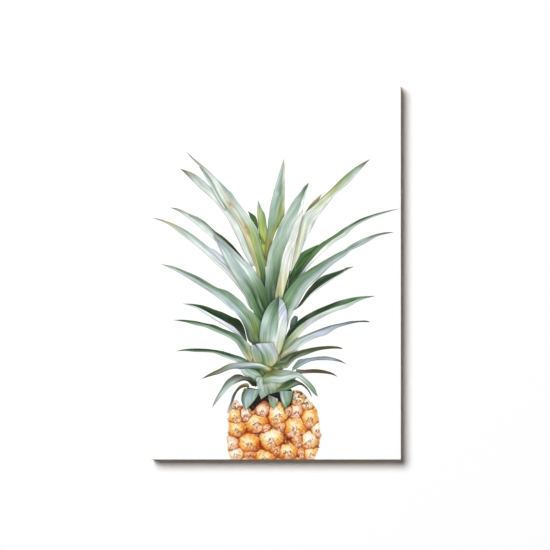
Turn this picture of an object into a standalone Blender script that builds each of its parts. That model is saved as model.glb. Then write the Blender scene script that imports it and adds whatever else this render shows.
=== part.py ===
"""Stretched canvas picture for a wall: printed canvas on a keyed pine stretcher frame.

The picture faces -Y and hangs on a wall at y = 0. X runs to the viewer's right and Z up.
The origin is the hanging point: the top of the sawtooth hanger's centre notch, on the wall's plane.
"""

import math

import bmesh
import bpy
from mathutils import Matrix, Vector

# Driving dimensions, in metres.
WIDTH = 0.400  # the finished picture, measured over the canvas
HEIGHT = 0.600
CANVAS = 0.0005  # thickness of the primed canvas
BARE_WOOD = 0.0168  # strip along the inner edge of each bar's back that the canvas leaves bare
CANVAS_EDGE_RADIUS = 0.0009
GAP = 0.0003  # clearance wherever two pieces touch

BAR_WIDTH = 0.040  # stretcher bar, outer edge to inner edge
BAR_DEPTH = 0.018
BEAD = 0.008  # flat rim of a bar's face, the only part that carries the canvas
BEAD_RADIUS = 0.0006
FACE_DROP = 0.003  # how far a bar's face falls away from the canvas at its inner edge
TONGUE = 0.004  # thickness of each of a corner's two interlocking tongues

KEY_TIP = 0.0035  # a corner key's width at its point
KEY_BUTT = 0.012  # and at the end that is struck
KEY_IN = 0.014  # how far a key goes into its bar
KEY_OUT = 0.012  # how far it stands out of it

BRACE_WIDTH = 0.032
BRACE_DEPTH = 0.012
TENON_WIDTH = 0.022
TENON_DEPTH = 0.005
TENON_LENGTH = 0.010

STAPLE_CROWN = 0.0100  # outside width of a staple
STAPLE_LEG = 0.0080
WIRE_WIDTH = 0.0012
WIRE_THICKNESS = 0.0006
STAPLE_FROM_EDGE = 0.015  # from the picture's edge to the line of staples
STAPLES_ACROSS = 7  # along the top, and along the bottom
STAPLES_UP = 10  # along each side

HANGER_LENGTH = 0.044
HANGER_HEIGHT = 0.011
HANGER_SHEET = 0.0008
HANGER_RISE = 0.0014  # how far its toothed middle stands off the wood
HANGER_TAB = 0.008  # flat end that is nailed down
HANGER_BEND = 0.002  # run of the slope between tab and middle
NOTCH_PITCH = 0.0038
NOTCH_DEPTH = 0.0018
NOTCHES = 5
NAIL_HEAD_RADIUS = 0.0021
NAIL_HEAD_HEIGHT = 0.0008
NAIL_SHANK_RADIUS = 0.0008
NAIL_LENGTH = 0.012  # under its head
NAIL_POINT = 0.0016

PAD_RADIUS = 0.006
PAD_HEIGHT = 0.004
PAD_RIM = 0.0005  # bevel round its edges
PAD_FROM_CORNER = 0.062  # along a side, from the top or bottom edge to a pad's middle

# What follows from them.
EDGE = CANVAS + GAP  # from the picture's edge to the wood
INSET = EDGE + BAR_WIDTH  # from the picture's edge to the open middle
BACK = -(PAD_HEIGHT + GAP)  # y of the wood's back face
FRONT = BACK - BAR_DEPTH  # y of the bead that carries the canvas
CANVAS_FRONT = FRONT - EDGE
CANVAS_BACK = BACK + EDGE
FLAP = INSET - BARE_WOOD  # canvas turned over the back of the bars, from the picture's edge
HANGER_LOW = INSET - (BARE_WOOD - HANGER_HEIGHT) / 2  # from the top edge to its lower edge
TOP = HANGER_LOW - NOTCH_DEPTH  # z of the picture's top edge
MIDDLE = TOP - HEIGHT / 2
OUTER_LAYER = (BAR_DEPTH - 2 * TONGUE) / 2  # wood behind and in front of the tongues
KEY_LENGTH = KEY_IN - GAP + KEY_OUT
KEY_SLOPE = (KEY_BUTT - KEY_TIP) / KEY_LENGTH
KEY_MOUTH = KEY_TIP + KEY_SLOPE * (KEY_IN - GAP) + 2 * GAP
LEG_HOLE_DEPTH = STAPLE_LEG + WIRE_THICKNESS
NAIL_IN = NAIL_LENGTH - HANGER_SHEET - 2 * GAP  # how deep a nail's point is in the wood
BEYOND = 0.002  # how far a cutter runs past what it cuts

PINE = ("pine", (0.78, 0.61, 0.40), 0.62, 0.0)
BEECH = ("beech", (0.72, 0.52, 0.34), 0.55, 0.0)
PRINTED_CANVAS = ("printed_canvas", (0.93, 0.93, 0.92), 0.78, 0.0)
STAPLE_STEEL = ("staple_steel", (0.66, 0.67, 0.69), 0.32, 1.0)
BRASSED_STEEL = ("brassed_steel", (0.80, 0.66, 0.38), 0.30, 1.0)
RUBBER = ("rubber", (0.10, 0.10, 0.11), 0.75, 0.0)


def clear_scene():
    for obj in list(bpy.data.objects):
        bpy.data.objects.remove(obj)


def new_collection(name):
    made = bpy.data.collections.new(name)
    bpy.context.scene.collection.children.link(made)
    return made


def material(name, colour, roughness, metallic):
    """The finish of that name, made once and shared by the pieces that wear it."""
    found = bpy.data.materials.get(name)
    if found:
        return found
    made = bpy.data.materials.new(name)
    made.use_nodes = True
    shader = made.node_tree.nodes["Principled BSDF"]
    shader.inputs["Base Color"].default_value = (*colour, 1.0)
    shader.inputs["Roughness"].default_value = roughness
    shader.inputs["Metallic"].default_value = metallic
    return made


def add_object(name, mesh, finish, place=None):
    obj = bpy.data.objects.new(name, mesh)
    picture.objects.link(obj)
    if not mesh.materials:
        mesh.materials.append(material(*finish))
    if place:
        obj.matrix_world = place
    return obj


def shade_round(mesh):
    """Smooth shading that keeps a crisp line wherever two faces meet at more than 40 degrees."""
    mesh.shade_smooth()
    mesh.set_sharp_from_angle(angle=math.radians(40))


def mesh_from(bm, name):
    mesh = bpy.data.meshes.new(name)
    bm.to_mesh(mesh)
    bm.free()
    return mesh


def box_into(bm, low, high, turn=0.0, axis="Z"):
    """Adds a box between two corners, turned about its own middle."""
    low = Vector(low)
    high = Vector(high)
    place = (
        Matrix.Translation((low + high) / 2)
        @ Matrix.Rotation(turn, 4, axis)
        @ Matrix.Diagonal((*(high - low), 1.0))
    )
    bmesh.ops.create_cube(bm, size=1.0, matrix=place)


def rod_into(bm, radius, length, place, segments=16):
    """Adds a round rod along place's Z axis, with its middle at place's origin."""
    bmesh.ops.create_cone(
        bm,
        cap_ends=True,
        segments=segments,
        radius1=radius,
        radius2=radius,
        depth=length,
        matrix=place,
    )


def outline_mesh(name, points, thickness):
    """A closed solid of a flat outline in local XY, half its thickness to each side of z = 0."""
    curve = bpy.data.curves.new(name, "CURVE")
    curve.dimensions = "2D"
    curve.fill_mode = "BOTH"
    curve.extrude = thickness / 2
    spline = curve.splines.new("POLY")
    spline.points.add(len(points) - 1)
    for point, (x, y) in zip(spline.points, points):
        point.co = (x, y, 0.0, 1.0)
    spline.use_cyclic_u = True
    draft = bpy.data.objects.new(name + "_outline", curve)
    cutters.objects.link(draft)
    graph = bpy.context.evaluated_depsgraph_get()
    mesh = bpy.data.meshes.new_from_object(draft.evaluated_get(graph))
    bpy.data.objects.remove(draft)
    bm = bmesh.new()
    bm.from_mesh(mesh)
    bmesh.ops.remove_doubles(bm, verts=bm.verts, dist=1e-6)
    bmesh.ops.recalc_face_normals(bm, faces=bm.faces)
    bm.to_mesh(mesh)
    bm.free()
    shade_round(mesh)
    return mesh


def cut(obj, name, bm):
    """Takes the shapes in bm, which are in obj's own frame and clear of each other, out of obj."""
    cutter = bpy.data.objects.new(f"{obj.name}_{name}", mesh_from(bm, name))
    cutters.objects.link(cutter)
    cutter.matrix_world = obj.matrix_world
    cutter.hide_render = True
    cutter.display_type = "WIRE"
    boolean = obj.modifiers.new(name, "BOOLEAN")
    boolean.operation = "DIFFERENCE"
    boolean.object = cutter


def bar_frame(quarter_turns, reach):
    """A bar's own frame: X along it, Y from its outer edge inwards, Z from its back face to the front.

    The top bar has no turn, and each quarter turn goes on round the picture clockwise, as seen
    from the front. reach is from the picture's middle to the outer edge of the wood.
    """
    upright = Matrix(((-1, 0, 0, 0), (0, 0, -1, 0), (0, -1, 0, 0), (0, 0, 0, 1)))
    return (
        Matrix.Translation((0, BACK, MIDDLE))
        @ Matrix.Rotation(quarter_turns * math.pi / 2, 4, "Y")
        @ Matrix.Translation((0, 0, reach))
        @ upright
    )


def bar_profile():
    """A bar's section, across from its outer edge and up from its back face."""
    steps = 4
    bead = [
        (
            BEAD_RADIUS * (1 - math.cos(math.pi / 2 * i / steps)),
            BAR_DEPTH - BEAD_RADIUS * (1 - math.sin(math.pi / 2 * i / steps)),
        )
        for i in range(steps + 1)
    ]
    return [(0, 0), *bead, (BEAD, BAR_DEPTH), (BAR_WIDTH, BAR_DEPTH - FACE_DROP), (BAR_WIDTH, 0)]


def cut_corner(mitres, slots, key_slots, end, length):
    """Adds what a bar loses at one end, which is 1 or -1: its mitres and the two slots.

    At end 1 the bar keeps the tongue nearer the front and takes its neighbour's behind it. At end
    -1 it is the other way round, so that four bars of one design close a frame.
    """
    lower = OUTER_LAYER
    between = OUTER_LAYER + TONGUE
    upper = BAR_DEPTH - OUTER_LAYER
    cleared = (lower, between) if end > 0 else (between, upper)
    back_top = lower if end > 0 else lower + GAP / 2
    front_low = upper - GAP / 2 if end > 0 else upper

    # A box turned by an eighth has one face on the mitre.
    side = 2 * BAR_WIDTH
    shift = (side - GAP) / 2 / math.sqrt(2)
    centre_x = end * (length / 2 - BAR_WIDTH / 2 + shift)
    centre_y = BAR_WIDTH / 2 + shift
    for low, high in ((-BEYOND, back_top), (front_low, BAR_DEPTH + BEYOND)):
        box_into(
            mitres,
            (centre_x - side / 2, centre_y - side / 2, low),
            (centre_x + side / 2, centre_y + side / 2, high),
            turn=math.pi / 4,
        )

    inner = length / 2 - BAR_WIDTH - GAP
    layer_low = cleared[0] - GAP / 2
    layer_high = cleared[1] + GAP / 2
    near, far = sorted((end * inner, end * (length / 2 + BEYOND)))
    box_into(slots, (near, -BEYOND, layer_low), (far, BAR_WIDTH + BEYOND, layer_high))
    near, far = sorted((end * (inner + GAP - KEY_MOUTH), end * (inner + GAP)))
    box_into(key_slots, (near, BAR_WIDTH - KEY_IN, layer_low), (far, BAR_WIDTH + BEYOND, layer_high))


def staple_places(count, span):
    """Middles of the staples along an edge of that length, clear of the folded corners."""
    clear = INSET + STAPLE_CROWN
    step = (span - 2 * clear) / (count - 1)
    return [-span / 2 + clear + step * i for i in range(count)]


def leg_offsets():
    """A staple's two legs, along its edge from its middle."""
    return [end * (STAPLE_CROWN - WIRE_THICKNESS) / 2 for end in (-1, 1)]


def make_bar(name, quarter_turns, span, reach, staples, braced):
    """One stretcher bar, with its joints, its mortise if the brace meets it, and its staple holes."""
    length = span - 2 * EDGE
    frame = bar_frame(quarter_turns, reach - EDGE)
    # The outline lies in the bar's YZ plane, so it is laid over with its thickness along X.
    mesh = outline_mesh(name, bar_profile(), length)
    mesh.transform(Matrix(((0, 0, 1, 0), (1, 0, 0, 0), (0, 1, 0, 0), (0, 0, 0, 1))))
    bar = add_object(name, mesh, PINE, frame)

    mitres = bmesh.new()
    slots = bmesh.new()
    key_slots = bmesh.new()
    for end in (-1, 1):
        cut_corner(mitres, slots, key_slots, end, length)
    if braced:
        half = TENON_WIDTH / 2 + GAP
        low = (BRACE_DEPTH - TENON_DEPTH) / 2 - GAP
        box_into(
            slots,
            (-half, BAR_WIDTH - TENON_LENGTH - GAP, low),
            (half, BAR_WIDTH + BEYOND, low + TENON_DEPTH + 2 * GAP),
        )
    cut(bar, "mitres", mitres)
    cut(bar, "slots", slots)
    cut(bar, "key_slots", key_slots)

    holes = bmesh.new()
    across = STAPLE_FROM_EDGE - EDGE
    for middle in staple_places(staples, span):
        for offset in leg_offsets():
            half_thick = WIRE_THICKNESS / 2 + GAP
            half_wide = WIRE_WIDTH / 2 + GAP
            box_into(
                holes,
                (middle + offset - half_thick, across - half_wide, -BEYOND),
                (middle + offset + half_thick, across + half_wide, LEG_HOLE_DEPTH),
            )
    if quarter_turns == 0:
        for x in nail_places():
            # The top bar's Y runs down from the wood's top edge.
            middle = (x, TOP - EDGE - nail_height(), (NAIL_IN + GAP - BEYOND) / 2)
            depth = NAIL_IN + GAP + BEYOND
            rod_into(holes, NAIL_SHANK_RADIUS + GAP, depth, Matrix.Translation(middle))
    cut(bar, "holes", holes)


def make_key(name, frame, end, length):
    """A corner key, driven in beside the neighbour's tongue at that end of a bar."""
    layer = OUTER_LAYER + TONGUE / 2 if end > 0 else OUTER_LAYER + 1.5 * TONGUE
    edge = length / 2 - BAR_WIDTH - GAP
    tip = BAR_WIDTH - KEY_IN + GAP
    butt = BAR_WIDTH + KEY_OUT
    points = [
        (end * edge, tip),
        (end * edge, butt),
        (end * (edge - KEY_BUTT), butt),
        (end * (edge - KEY_TIP), tip),
    ]
    mesh = outline_mesh(name, points, TONGUE - 2 * GAP)
    mesh.transform(Matrix.Translation((0, 0, layer)))
    add_object(name, mesh, BEECH, frame)


def make_brace():
    """The cross brace between the side bars, set back from the canvas, with a tenon at each end."""
    span = WIDTH - 2 * INSET - 2 * GAP
    tenon = span / 2 + TENON_LENGTH
    half = BRACE_WIDTH / 2
    half_tenon = TENON_WIDTH / 2
    corners = []
    for across, up in ((1, 1), (-1, 1), (-1, -1), (1, -1)):
        run = [(tenon, half_tenon), (span / 2, half_tenon), (span / 2, half)]
        turned = [(across * x, up * y) for x, y in run]
        corners += turned if across == up else turned[::-1]
    mesh = outline_mesh("centre_brace", corners, BRACE_DEPTH)
    # Stood up, so that its thickness runs from the wood's back face towards the front.
    stand = Matrix.Rotation(math.pi / 2, 4, "X")
    mesh.transform(Matrix.Translation((0, BACK - BRACE_DEPTH / 2, MIDDLE)) @ stand)
    brace = add_object("centre_brace", mesh, PINE)
    cheeks = bmesh.new()
    tenon_back = BACK - (BRACE_DEPTH - TENON_DEPTH) / 2
    tenon_front = tenon_back - TENON_DEPTH
    for end in (-1, 1):
        near, far = sorted((end * span / 2, end * (tenon + BEYOND)))
        for low, high in (
            (tenon_back, BACK + BEYOND),
            (BACK - BRACE_DEPTH - BEYOND, tenon_front),
        ):
            box_into(cheeks, (near, low, MIDDLE - half), (far, high, MIDDLE + half))
    cut(brace, "cheeks", cheeks)


def make_canvas():
    """The canvas as one sheet: face, four sides, and a flap turned over the back of each bar."""
    bm = bmesh.new()
    low = (-WIDTH / 2, CANVAS_FRONT, MIDDLE - HEIGHT / 2)
    high = (WIDTH / 2, CANVAS_BACK, MIDDLE + HEIGHT / 2)
    box_into(bm, low, high)
    back = [f for f in bm.faces if f.normal.y > 0.5]
    bmesh.ops.inset_region(bm, faces=back, thickness=FLAP, use_even_offset=True)
    back = [f for f in bm.faces if f.normal.y > 0.5]
    window = min(back, key=lambda f: max(abs(v.co.x) for v in f.verts))
    bmesh.ops.delete(bm, geom=[window], context="FACES_ONLY")
    folds = [e for e in bm.edges if len(e.link_faces) == 2 and e.calc_face_angle() > 1.0]
    bmesh.ops.bevel(
        bm,
        geom=folds,
        offset=CANVAS_EDGE_RADIUS,
        offset_type="OFFSET",
        segments=3,
        profile=0.5,
        affect="EDGES",
    )
    canvas = add_object("canvas_print", mesh_from(bm, "canvas_print"), PRINTED_CANVAS)
    sheet = canvas.modifiers.new("thickness", "SOLIDIFY")
    sheet.thickness = CANVAS
    sheet.offset = -1.0
    sheet.use_even_offset = True

    holes = bmesh.new()
    for quarter_turns, span, reach, staples in EDGES.values():
        frame = bar_frame(quarter_turns, reach)
        for middle in staple_places(staples, span):
            for offset in leg_offsets():
                at = frame @ Vector((middle + offset, STAPLE_FROM_EDGE, -EDGE / 2))
                along = WIRE_THICKNESS / 2 + GAP
                wide = WIRE_WIDTH / 2 + GAP
                half = (along, EDGE, wide) if quarter_turns % 2 == 0 else (wide, EDGE, along)
                box_into(holes, at - Vector(half), at + Vector(half))
    cut(canvas, "staple_holes", holes)


def staple_mesh():
    """A wire staple in a bar's axes: its crown lies outside the canvas and its legs are in the wood."""
    half = STAPLE_CROWN / 2
    inner = half - WIRE_THICKNESS
    top = -(EDGE + GAP + WIRE_THICKNESS)
    under = top + WIRE_THICKNESS
    foot = STAPLE_LEG + top
    points = [
        (-half, top),
        (half, top),
        (half, foot),
        (inner, foot),
        (inner, under),
        (-inner, under),
        (-inner, foot),
        (-half, foot),
    ]
    mesh = outline_mesh("staple", points, WIRE_WIDTH)
    # The outline's Y becomes the bar's Z, into the wood.
    mesh.transform(Matrix.Rotation(math.pi / 2, 4, "X"))
    return mesh


def nail_places():
    """The hanger's two nails, from the picture's middle."""
    return [end * (HANGER_LENGTH - HANGER_TAB) / 2 for end in (-1, 1)]


def nail_height():
    """The hanger's middle line, above the top of its notches."""
    return HANGER_HEIGHT / 2 - NOTCH_DEPTH


def make_hanger():
    """Sawtooth hanger: a nailed tab at each end, and a raised middle notched along its lower edge."""
    half = HANGER_LENGTH / 2
    tab_end = half - HANGER_TAB
    top_start = tab_end - HANGER_BEND
    shift = HANGER_SHEET * math.tan(math.atan2(HANGER_RISE, HANGER_BEND) / 2)
    under = [(half, 0), (tab_end, 0), (top_start, HANGER_RISE)]
    over = [(half, HANGER_SHEET)]
    over += [(x + shift, y + HANGER_SHEET) for x, y in under[1:]]
    left_over = [(-x, y) for x, y in over]
    left_under = [(-x, y) for x, y in under]
    points = under + left_under[::-1] + left_over + over[::-1]
    mesh = outline_mesh("sawtooth_hanger", points, HANGER_HEIGHT)
    mesh.transform(Matrix.Translation((0, BACK + GAP, nail_height())))
    hanger = add_object("sawtooth_hanger", mesh, BRASSED_STEEL)

    notches = bmesh.new()
    side = 2 * NOTCH_DEPTH
    drop = side / math.sqrt(2)
    for i in range(NOTCHES):
        x = (i - (NOTCHES - 1) / 2) * NOTCH_PITCH
        box_into(
            notches,
            (x - side / 2, BACK - BEYOND, -drop - side / 2),
            (x + side / 2, BEYOND, -drop + side / 2),
            turn=math.pi / 4,
            axis="Y",
        )
    cut(hanger, "notches", notches)
    nail_holes = bmesh.new()
    for x in nail_places():
        place = Matrix.Translation((x, BACK, nail_height())) @ Matrix.Rotation(math.pi / 2, 4, "X")
        rod_into(nail_holes, NAIL_SHANK_RADIUS + GAP, 2 * BEYOND, place)
    cut(hanger, "nail_holes", nail_holes)


def make_nail(name, x):
    """A panel pin with a domed head, turned round its own axis and driven in from the wall's side."""
    dome = [
        (
            NAIL_HEAD_RADIUS * math.sin(math.pi / 2 * i / 3),
            NAIL_HEAD_HEIGHT * math.cos(math.pi / 2 * i / 3),
        )
        for i in range(4)
    ]
    profile = [
        *dome,
        (NAIL_SHANK_RADIUS, 0),
        (NAIL_SHANK_RADIUS, NAIL_POINT - NAIL_LENGTH),
        (0, -NAIL_LENGTH),
    ]
    mesh = bpy.data.meshes.new(name)
    mesh.from_pydata(
        [(r, 0, z) for r, z in profile],
        [(i, i + 1) for i in range(len(profile) - 1)],
        [],
    )
    under_head = BACK + HANGER_SHEET + 2 * GAP
    place = Matrix.Translation((x, under_head, nail_height())) @ Matrix.Rotation(-math.pi / 2, 4, "X")
    nail = add_object(name, mesh, BRASSED_STEEL, place)
    # Shaded smooth by the Screw itself.
    turn = nail.modifiers.new("turn", "SCREW")
    turn.steps = 16
    turn.render_steps = 16
    turn.use_merge_vertices = True
    turn.merge_threshold = 1e-5


def make_pad(name, x, z):
    """A round rubber pad that keeps the picture off the wall."""
    bm = bmesh.new()
    rod_into(bm, PAD_RADIUS, PAD_HEIGHT, Matrix(), segments=32)
    mesh = mesh_from(bm, name)
    shade_round(mesh)
    place = Matrix.Translation((x, -PAD_HEIGHT / 2, z)) @ Matrix.Rotation(math.pi / 2, 4, "X")
    pad = add_object(name, mesh, RUBBER, place)
    rim = pad.modifiers.new("rim", "BEVEL")
    rim.width = PAD_RIM
    rim.segments = 2
    rim.limit_method = "ANGLE"


# Each edge of the picture: quarter turns round it, its length, the way out to it, and its staples.
EDGES = {
    "top": (0, WIDTH, HEIGHT / 2, STAPLES_ACROSS),
    "right": (1, HEIGHT, WIDTH / 2, STAPLES_UP),
    "bottom": (2, WIDTH, HEIGHT / 2, STAPLES_ACROSS),
    "left": (3, HEIGHT, WIDTH / 2, STAPLES_UP),
}

clear_scene()
picture = new_collection("canvas_picture")
cutters = new_collection("cutters")

make_canvas()
make_brace()
staple = staple_mesh()
for edge, (quarter_turns, span, reach, staples) in EDGES.items():
    braced = edge in ("left", "right")
    make_bar(f"bar_{edge}", quarter_turns, span, reach, staples, braced)
    wood = bar_frame(quarter_turns, reach - EDGE)
    make_key(f"key_{edge}_1", wood, -1, span - 2 * EDGE)
    make_key(f"key_{edge}_2", wood, 1, span - 2 * EDGE)
    canvas_edge = bar_frame(quarter_turns, reach)
    for i, middle in enumerate(staple_places(staples, span), 1):
        place = canvas_edge @ Matrix.Translation((middle, STAPLE_FROM_EDGE, 0))
        add_object(f"staple_{edge}_{i:02d}", staple, STAPLE_STEEL, place)

make_hanger()
for side, x in zip(("left", "right"), nail_places()):
    make_nail(f"hanger_nail_{side}", x)

pad_x = WIDTH / 2 - FLAP - BARE_WOOD / 2
pad_z = HEIGHT / 2 - PAD_FROM_CORNER
for height, z in (("top", MIDDLE + pad_z), ("bottom", MIDDLE - pad_z)):
    for side, x in (("left", -pad_x), ("right", pad_x)):
        make_pad(f"wall_pad_{height}_{side}", x, z)
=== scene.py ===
"""The looks of a stretched canvas print, in the CAD model's frame.

A pineapple is printed on primed cotton canvas, which is wrapped over a keyed pine stretcher frame, stapled at
the back and hung on a plain white wall."""

import math

import bmesh
import bpy
import numpy as np
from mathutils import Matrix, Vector
from mathutils.geometry import delaunay_2d_cdt


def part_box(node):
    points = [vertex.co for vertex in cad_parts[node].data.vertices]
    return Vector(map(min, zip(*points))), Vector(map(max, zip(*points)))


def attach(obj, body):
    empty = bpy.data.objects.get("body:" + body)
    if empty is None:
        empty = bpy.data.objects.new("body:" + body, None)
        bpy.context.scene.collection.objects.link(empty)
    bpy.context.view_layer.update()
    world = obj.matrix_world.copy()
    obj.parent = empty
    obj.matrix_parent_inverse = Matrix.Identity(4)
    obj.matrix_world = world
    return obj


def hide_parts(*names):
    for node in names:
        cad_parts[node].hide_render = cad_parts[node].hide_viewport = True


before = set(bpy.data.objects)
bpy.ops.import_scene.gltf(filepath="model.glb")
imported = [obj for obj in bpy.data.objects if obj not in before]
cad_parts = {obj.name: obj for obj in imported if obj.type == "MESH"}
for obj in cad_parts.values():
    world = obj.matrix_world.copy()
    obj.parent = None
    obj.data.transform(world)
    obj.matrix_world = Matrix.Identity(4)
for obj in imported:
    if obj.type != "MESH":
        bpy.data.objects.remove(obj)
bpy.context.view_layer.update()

MM = 0.001
FAR, TINY = 1e9, 1e-9
QUARTER_TURNS = ((1, 0), (0, 1), (-1, 0), (0, -1))  # cosine and sine

# ---------------------------------------------------------------- the printed picture
# All of the print's points are millimetres from the canvas's middle, X to the right and Z up. The last number
# in a call of noise() is only its seed.

LEAF_STEP = 2.4  # mm between drawn points along a leaf
FRUIT_STEP = 1.05  # and over the fruit
GAPS_STEP = 1.5  # and over the dark gaps above it
GROUND_STEP = 6.0  # and over the plain ground
BACK_STEP = 12.0  # and over the unprinted side
OUTLINE_STEP = 2.0  # between the points of the fruit's outline
CURVE_CUTS = 12  # pieces that a smooth line has between two of its points
LINE_INSET = 0.42  # a leaf's points this far in from its edges hold the outline's ink
INNER_INSET, INNER_STEP = 1.1, 1.9  # where the points between them start, and how far apart they lie
CREASE_INSET, CREASE_CLEAR = 0.28, 0.7  # points on either side of a crease, and none else this near it
UNFOLDED = 0.999  # a crease at least this far across a leaf is no crease
INK_LINE, FOLD_SHADE = "#57655A", 0.16
WAX, WAX_STRENGTH = "#F2F7F1", 0.42
SHADE_REACH, SHADE_DEPTH = 4.0, 0.28  # the shade that each printed thing throws on the one behind it

TONES = {
    "white": "#F3F7F1", "paper": "#FEFEFD", "mint": "#DCEAE2", "frost": "#C0D3CD", "sage": "#93AF9B",
    "leaf": "#73966B", "moss": "#55794A", "green": "#4C7B36", "deep": "#34502F", "night": "#1E2D1C",
    "sky": "#BACBD8", "steel": "#8797A3", "lilac": "#D2D5E6", "olive": "#92A152", "lime": "#BED160",
    "straw": "#DCD9A8", "cream": "#F1EFD6", "tan": "#C9AB78", "rust": "#BC7A45", "brown": "#6D5A45",
}


def srgb(code):
    """A hex colour as three numbers from 0 to 1, still in sRGB."""
    return np.array([int(code[place:place + 2], 16) for place in (1, 3, 5)]) / 255


def linear(colour):
    """sRGB numbers turned to the linear ones that materials and attributes hold."""
    colour = np.asarray(colour, float)
    return np.where(colour <= 0.04045, colour / 12.92, ((colour + 0.055) / 1.055) ** 2.4)


def mix(low, high, share):
    """Goes from the low colour to the high one by each point's share."""
    return low + (high - low) * np.asarray(share)[..., None]


def smooth_line(points, steps):
    """A smooth line through the points, cut into equal steps."""
    points = np.array(points, float)
    ends = np.vstack([2 * points[0] - points[1], points, 2 * points[-1] - points[-2]])
    share = np.linspace(0, 1, CURVE_CUTS + 1)[:-1, None]
    bent = []
    for before, here, there, after in zip(ends, ends[1:], ends[2:], ends[3:]):
        bent.append(0.5 * (2 * here + (there - before) * share
                    + (2 * before - 5 * here + 4 * there - after) * share ** 2
                    + (3 * here - before - 3 * there + after) * share ** 3))
    bent = np.vstack(bent + [points[-1:]])
    run = np.concatenate([[0], np.cumsum(np.hypot(*np.diff(bent, axis=0).T))])
    even = np.linspace(0, run[-1], steps + 1)
    return np.stack([np.interp(even, run, bent[:, 0]), np.interp(even, run, bent[:, 1])], axis=1)


def leaf(name, first, second, rows, fold=None, line=0.3, spots=()):
    """A leaf drawn between two edges that run from its base to its tip. rows says which tones run across it,
    from the first edge to the second, at each share of its length. With four tones, the leaf is folded along
    its length, and fold says how far across the crease lies at the base, the middle and the tip."""
    length = 0.5 * (path_length(first) + path_length(second))
    steps = max(8, int(round(length / LEAF_STEP)))
    first, second = smooth_line(first, steps), smooth_line(second, steps)
    marks = [mark for mark, _ in rows]
    tones = []
    for _, words in rows:
        words = words.split()
        words = words if len(words) == 4 else [words[0], words[-1], words[0], words[-1]]
        tones.append([srgb(TONES[word]) for word in words])
    return {"name": name, "first": first, "second": second, "marks": marks, "tones": np.array(tones),
            "fold": fold or (1, 1, 1), "line": line, "spots": spots, "length": length,
            "outline": np.vstack([first, second[::-1]])}


def path_length(points):
    return np.hypot(*np.diff(np.array(points, float), axis=0).T).sum()


def noise(points, size, seed):
    """Soft noise from -1 to 1 on points, with patches of about the given size."""
    spot = np.asarray(points, float) / size
    cell = np.floor(spot).astype(int)
    share = spot - cell
    share = share * share * (3 - 2 * share)
    total = 0
    for across in (0, 1):
        for up in (0, 1):
            # a scrambled number for each corner of the cell
            mark = np.sin((cell[..., 0] + across) * 127.1 + (cell[..., 1] + up) * 311.7 + seed * 74.7)
            mark = mark * 43758.5453
            sideways = share[..., 0] if across else 1 - share[..., 0]
            upwards = share[..., 1] if up else 1 - share[..., 1]
            total = total + sideways * upwards * (mark - np.floor(mark))
    return 2 * total - 1


def inside(outline, points):
    """Which points an outline encloses."""
    found = np.zeros(len(points), bool)
    x, z = points[:, 0], points[:, 1]
    for (x1, z1), (x2, z2) in zip(outline, np.roll(outline, -1, axis=0)):
        if z1 == z2:
            continue
        crosses = (z1 > z) != (z2 > z)
        found ^= crosses & (x < (x2 - x1) * (z - z1) / (z2 - z1) + x1)
    return found


def edge_distance(outline, points):
    """How far each point is from a closed outline."""
    nearest = np.full(len(points), FAR)
    for start, end in zip(outline, np.roll(outline, -1, axis=0)):
        side = end - start
        share = np.clip((points - start) @ side / max(side @ side, TINY), 0, 1)
        nearest = np.minimum(nearest, np.hypot(*(points - start - share[:, None] * side).T))
    return nearest


def place_on_leaf(blade, points):
    """Each point's share along the leaf, its share across it, and the leaf's width there."""
    first, second = blade["first"], blade["second"]
    best = np.full(len(points), FAR)
    along, across, width = np.zeros(len(points)), np.zeros(len(points)), np.ones(len(points))
    for step in range(len(first) - 1):
        ahead = []
        for left, right in ((first[step], second[step]), (first[step + 1], second[step + 1])):
            cross = right - left
            size = np.hypot(*cross)
            if size < 1e-6:  # the leaf's tip, where its two edges meet
                cross = 0.5 * (first[step] + second[step]) - left
                cross = np.array([cross[1], -cross[0]])
                size = np.hypot(*cross)
            ahead.append((points - left) @ np.array([-cross[1], cross[0]]) / size)
        gap = np.where(np.abs(ahead[0] - ahead[1]) < TINY, TINY, ahead[0] - ahead[1])
        share = ahead[0] / gap
        held = np.clip(share, 0, 1)[:, None]
        start = first[step] + held * (first[step + 1] - first[step])
        side = second[step] + held * (second[step + 1] - second[step]) - start
        size = np.maximum((side * side).sum(axis=1), TINY)
        place = ((points - start) * side).sum(axis=1) / size
        miss = np.abs(share - held[:, 0]) * 2 + np.abs(place - np.clip(place, 0, 1)) * np.sqrt(size)
        better = miss < best
        best = np.where(better, miss, best)
        along = np.where(better, (step + held[:, 0]) / (len(first) - 1), along)
        across = np.where(better, np.clip(place, 0, 1), across)
        width = np.where(better, np.sqrt(size), width)
    return along, across, width


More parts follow.
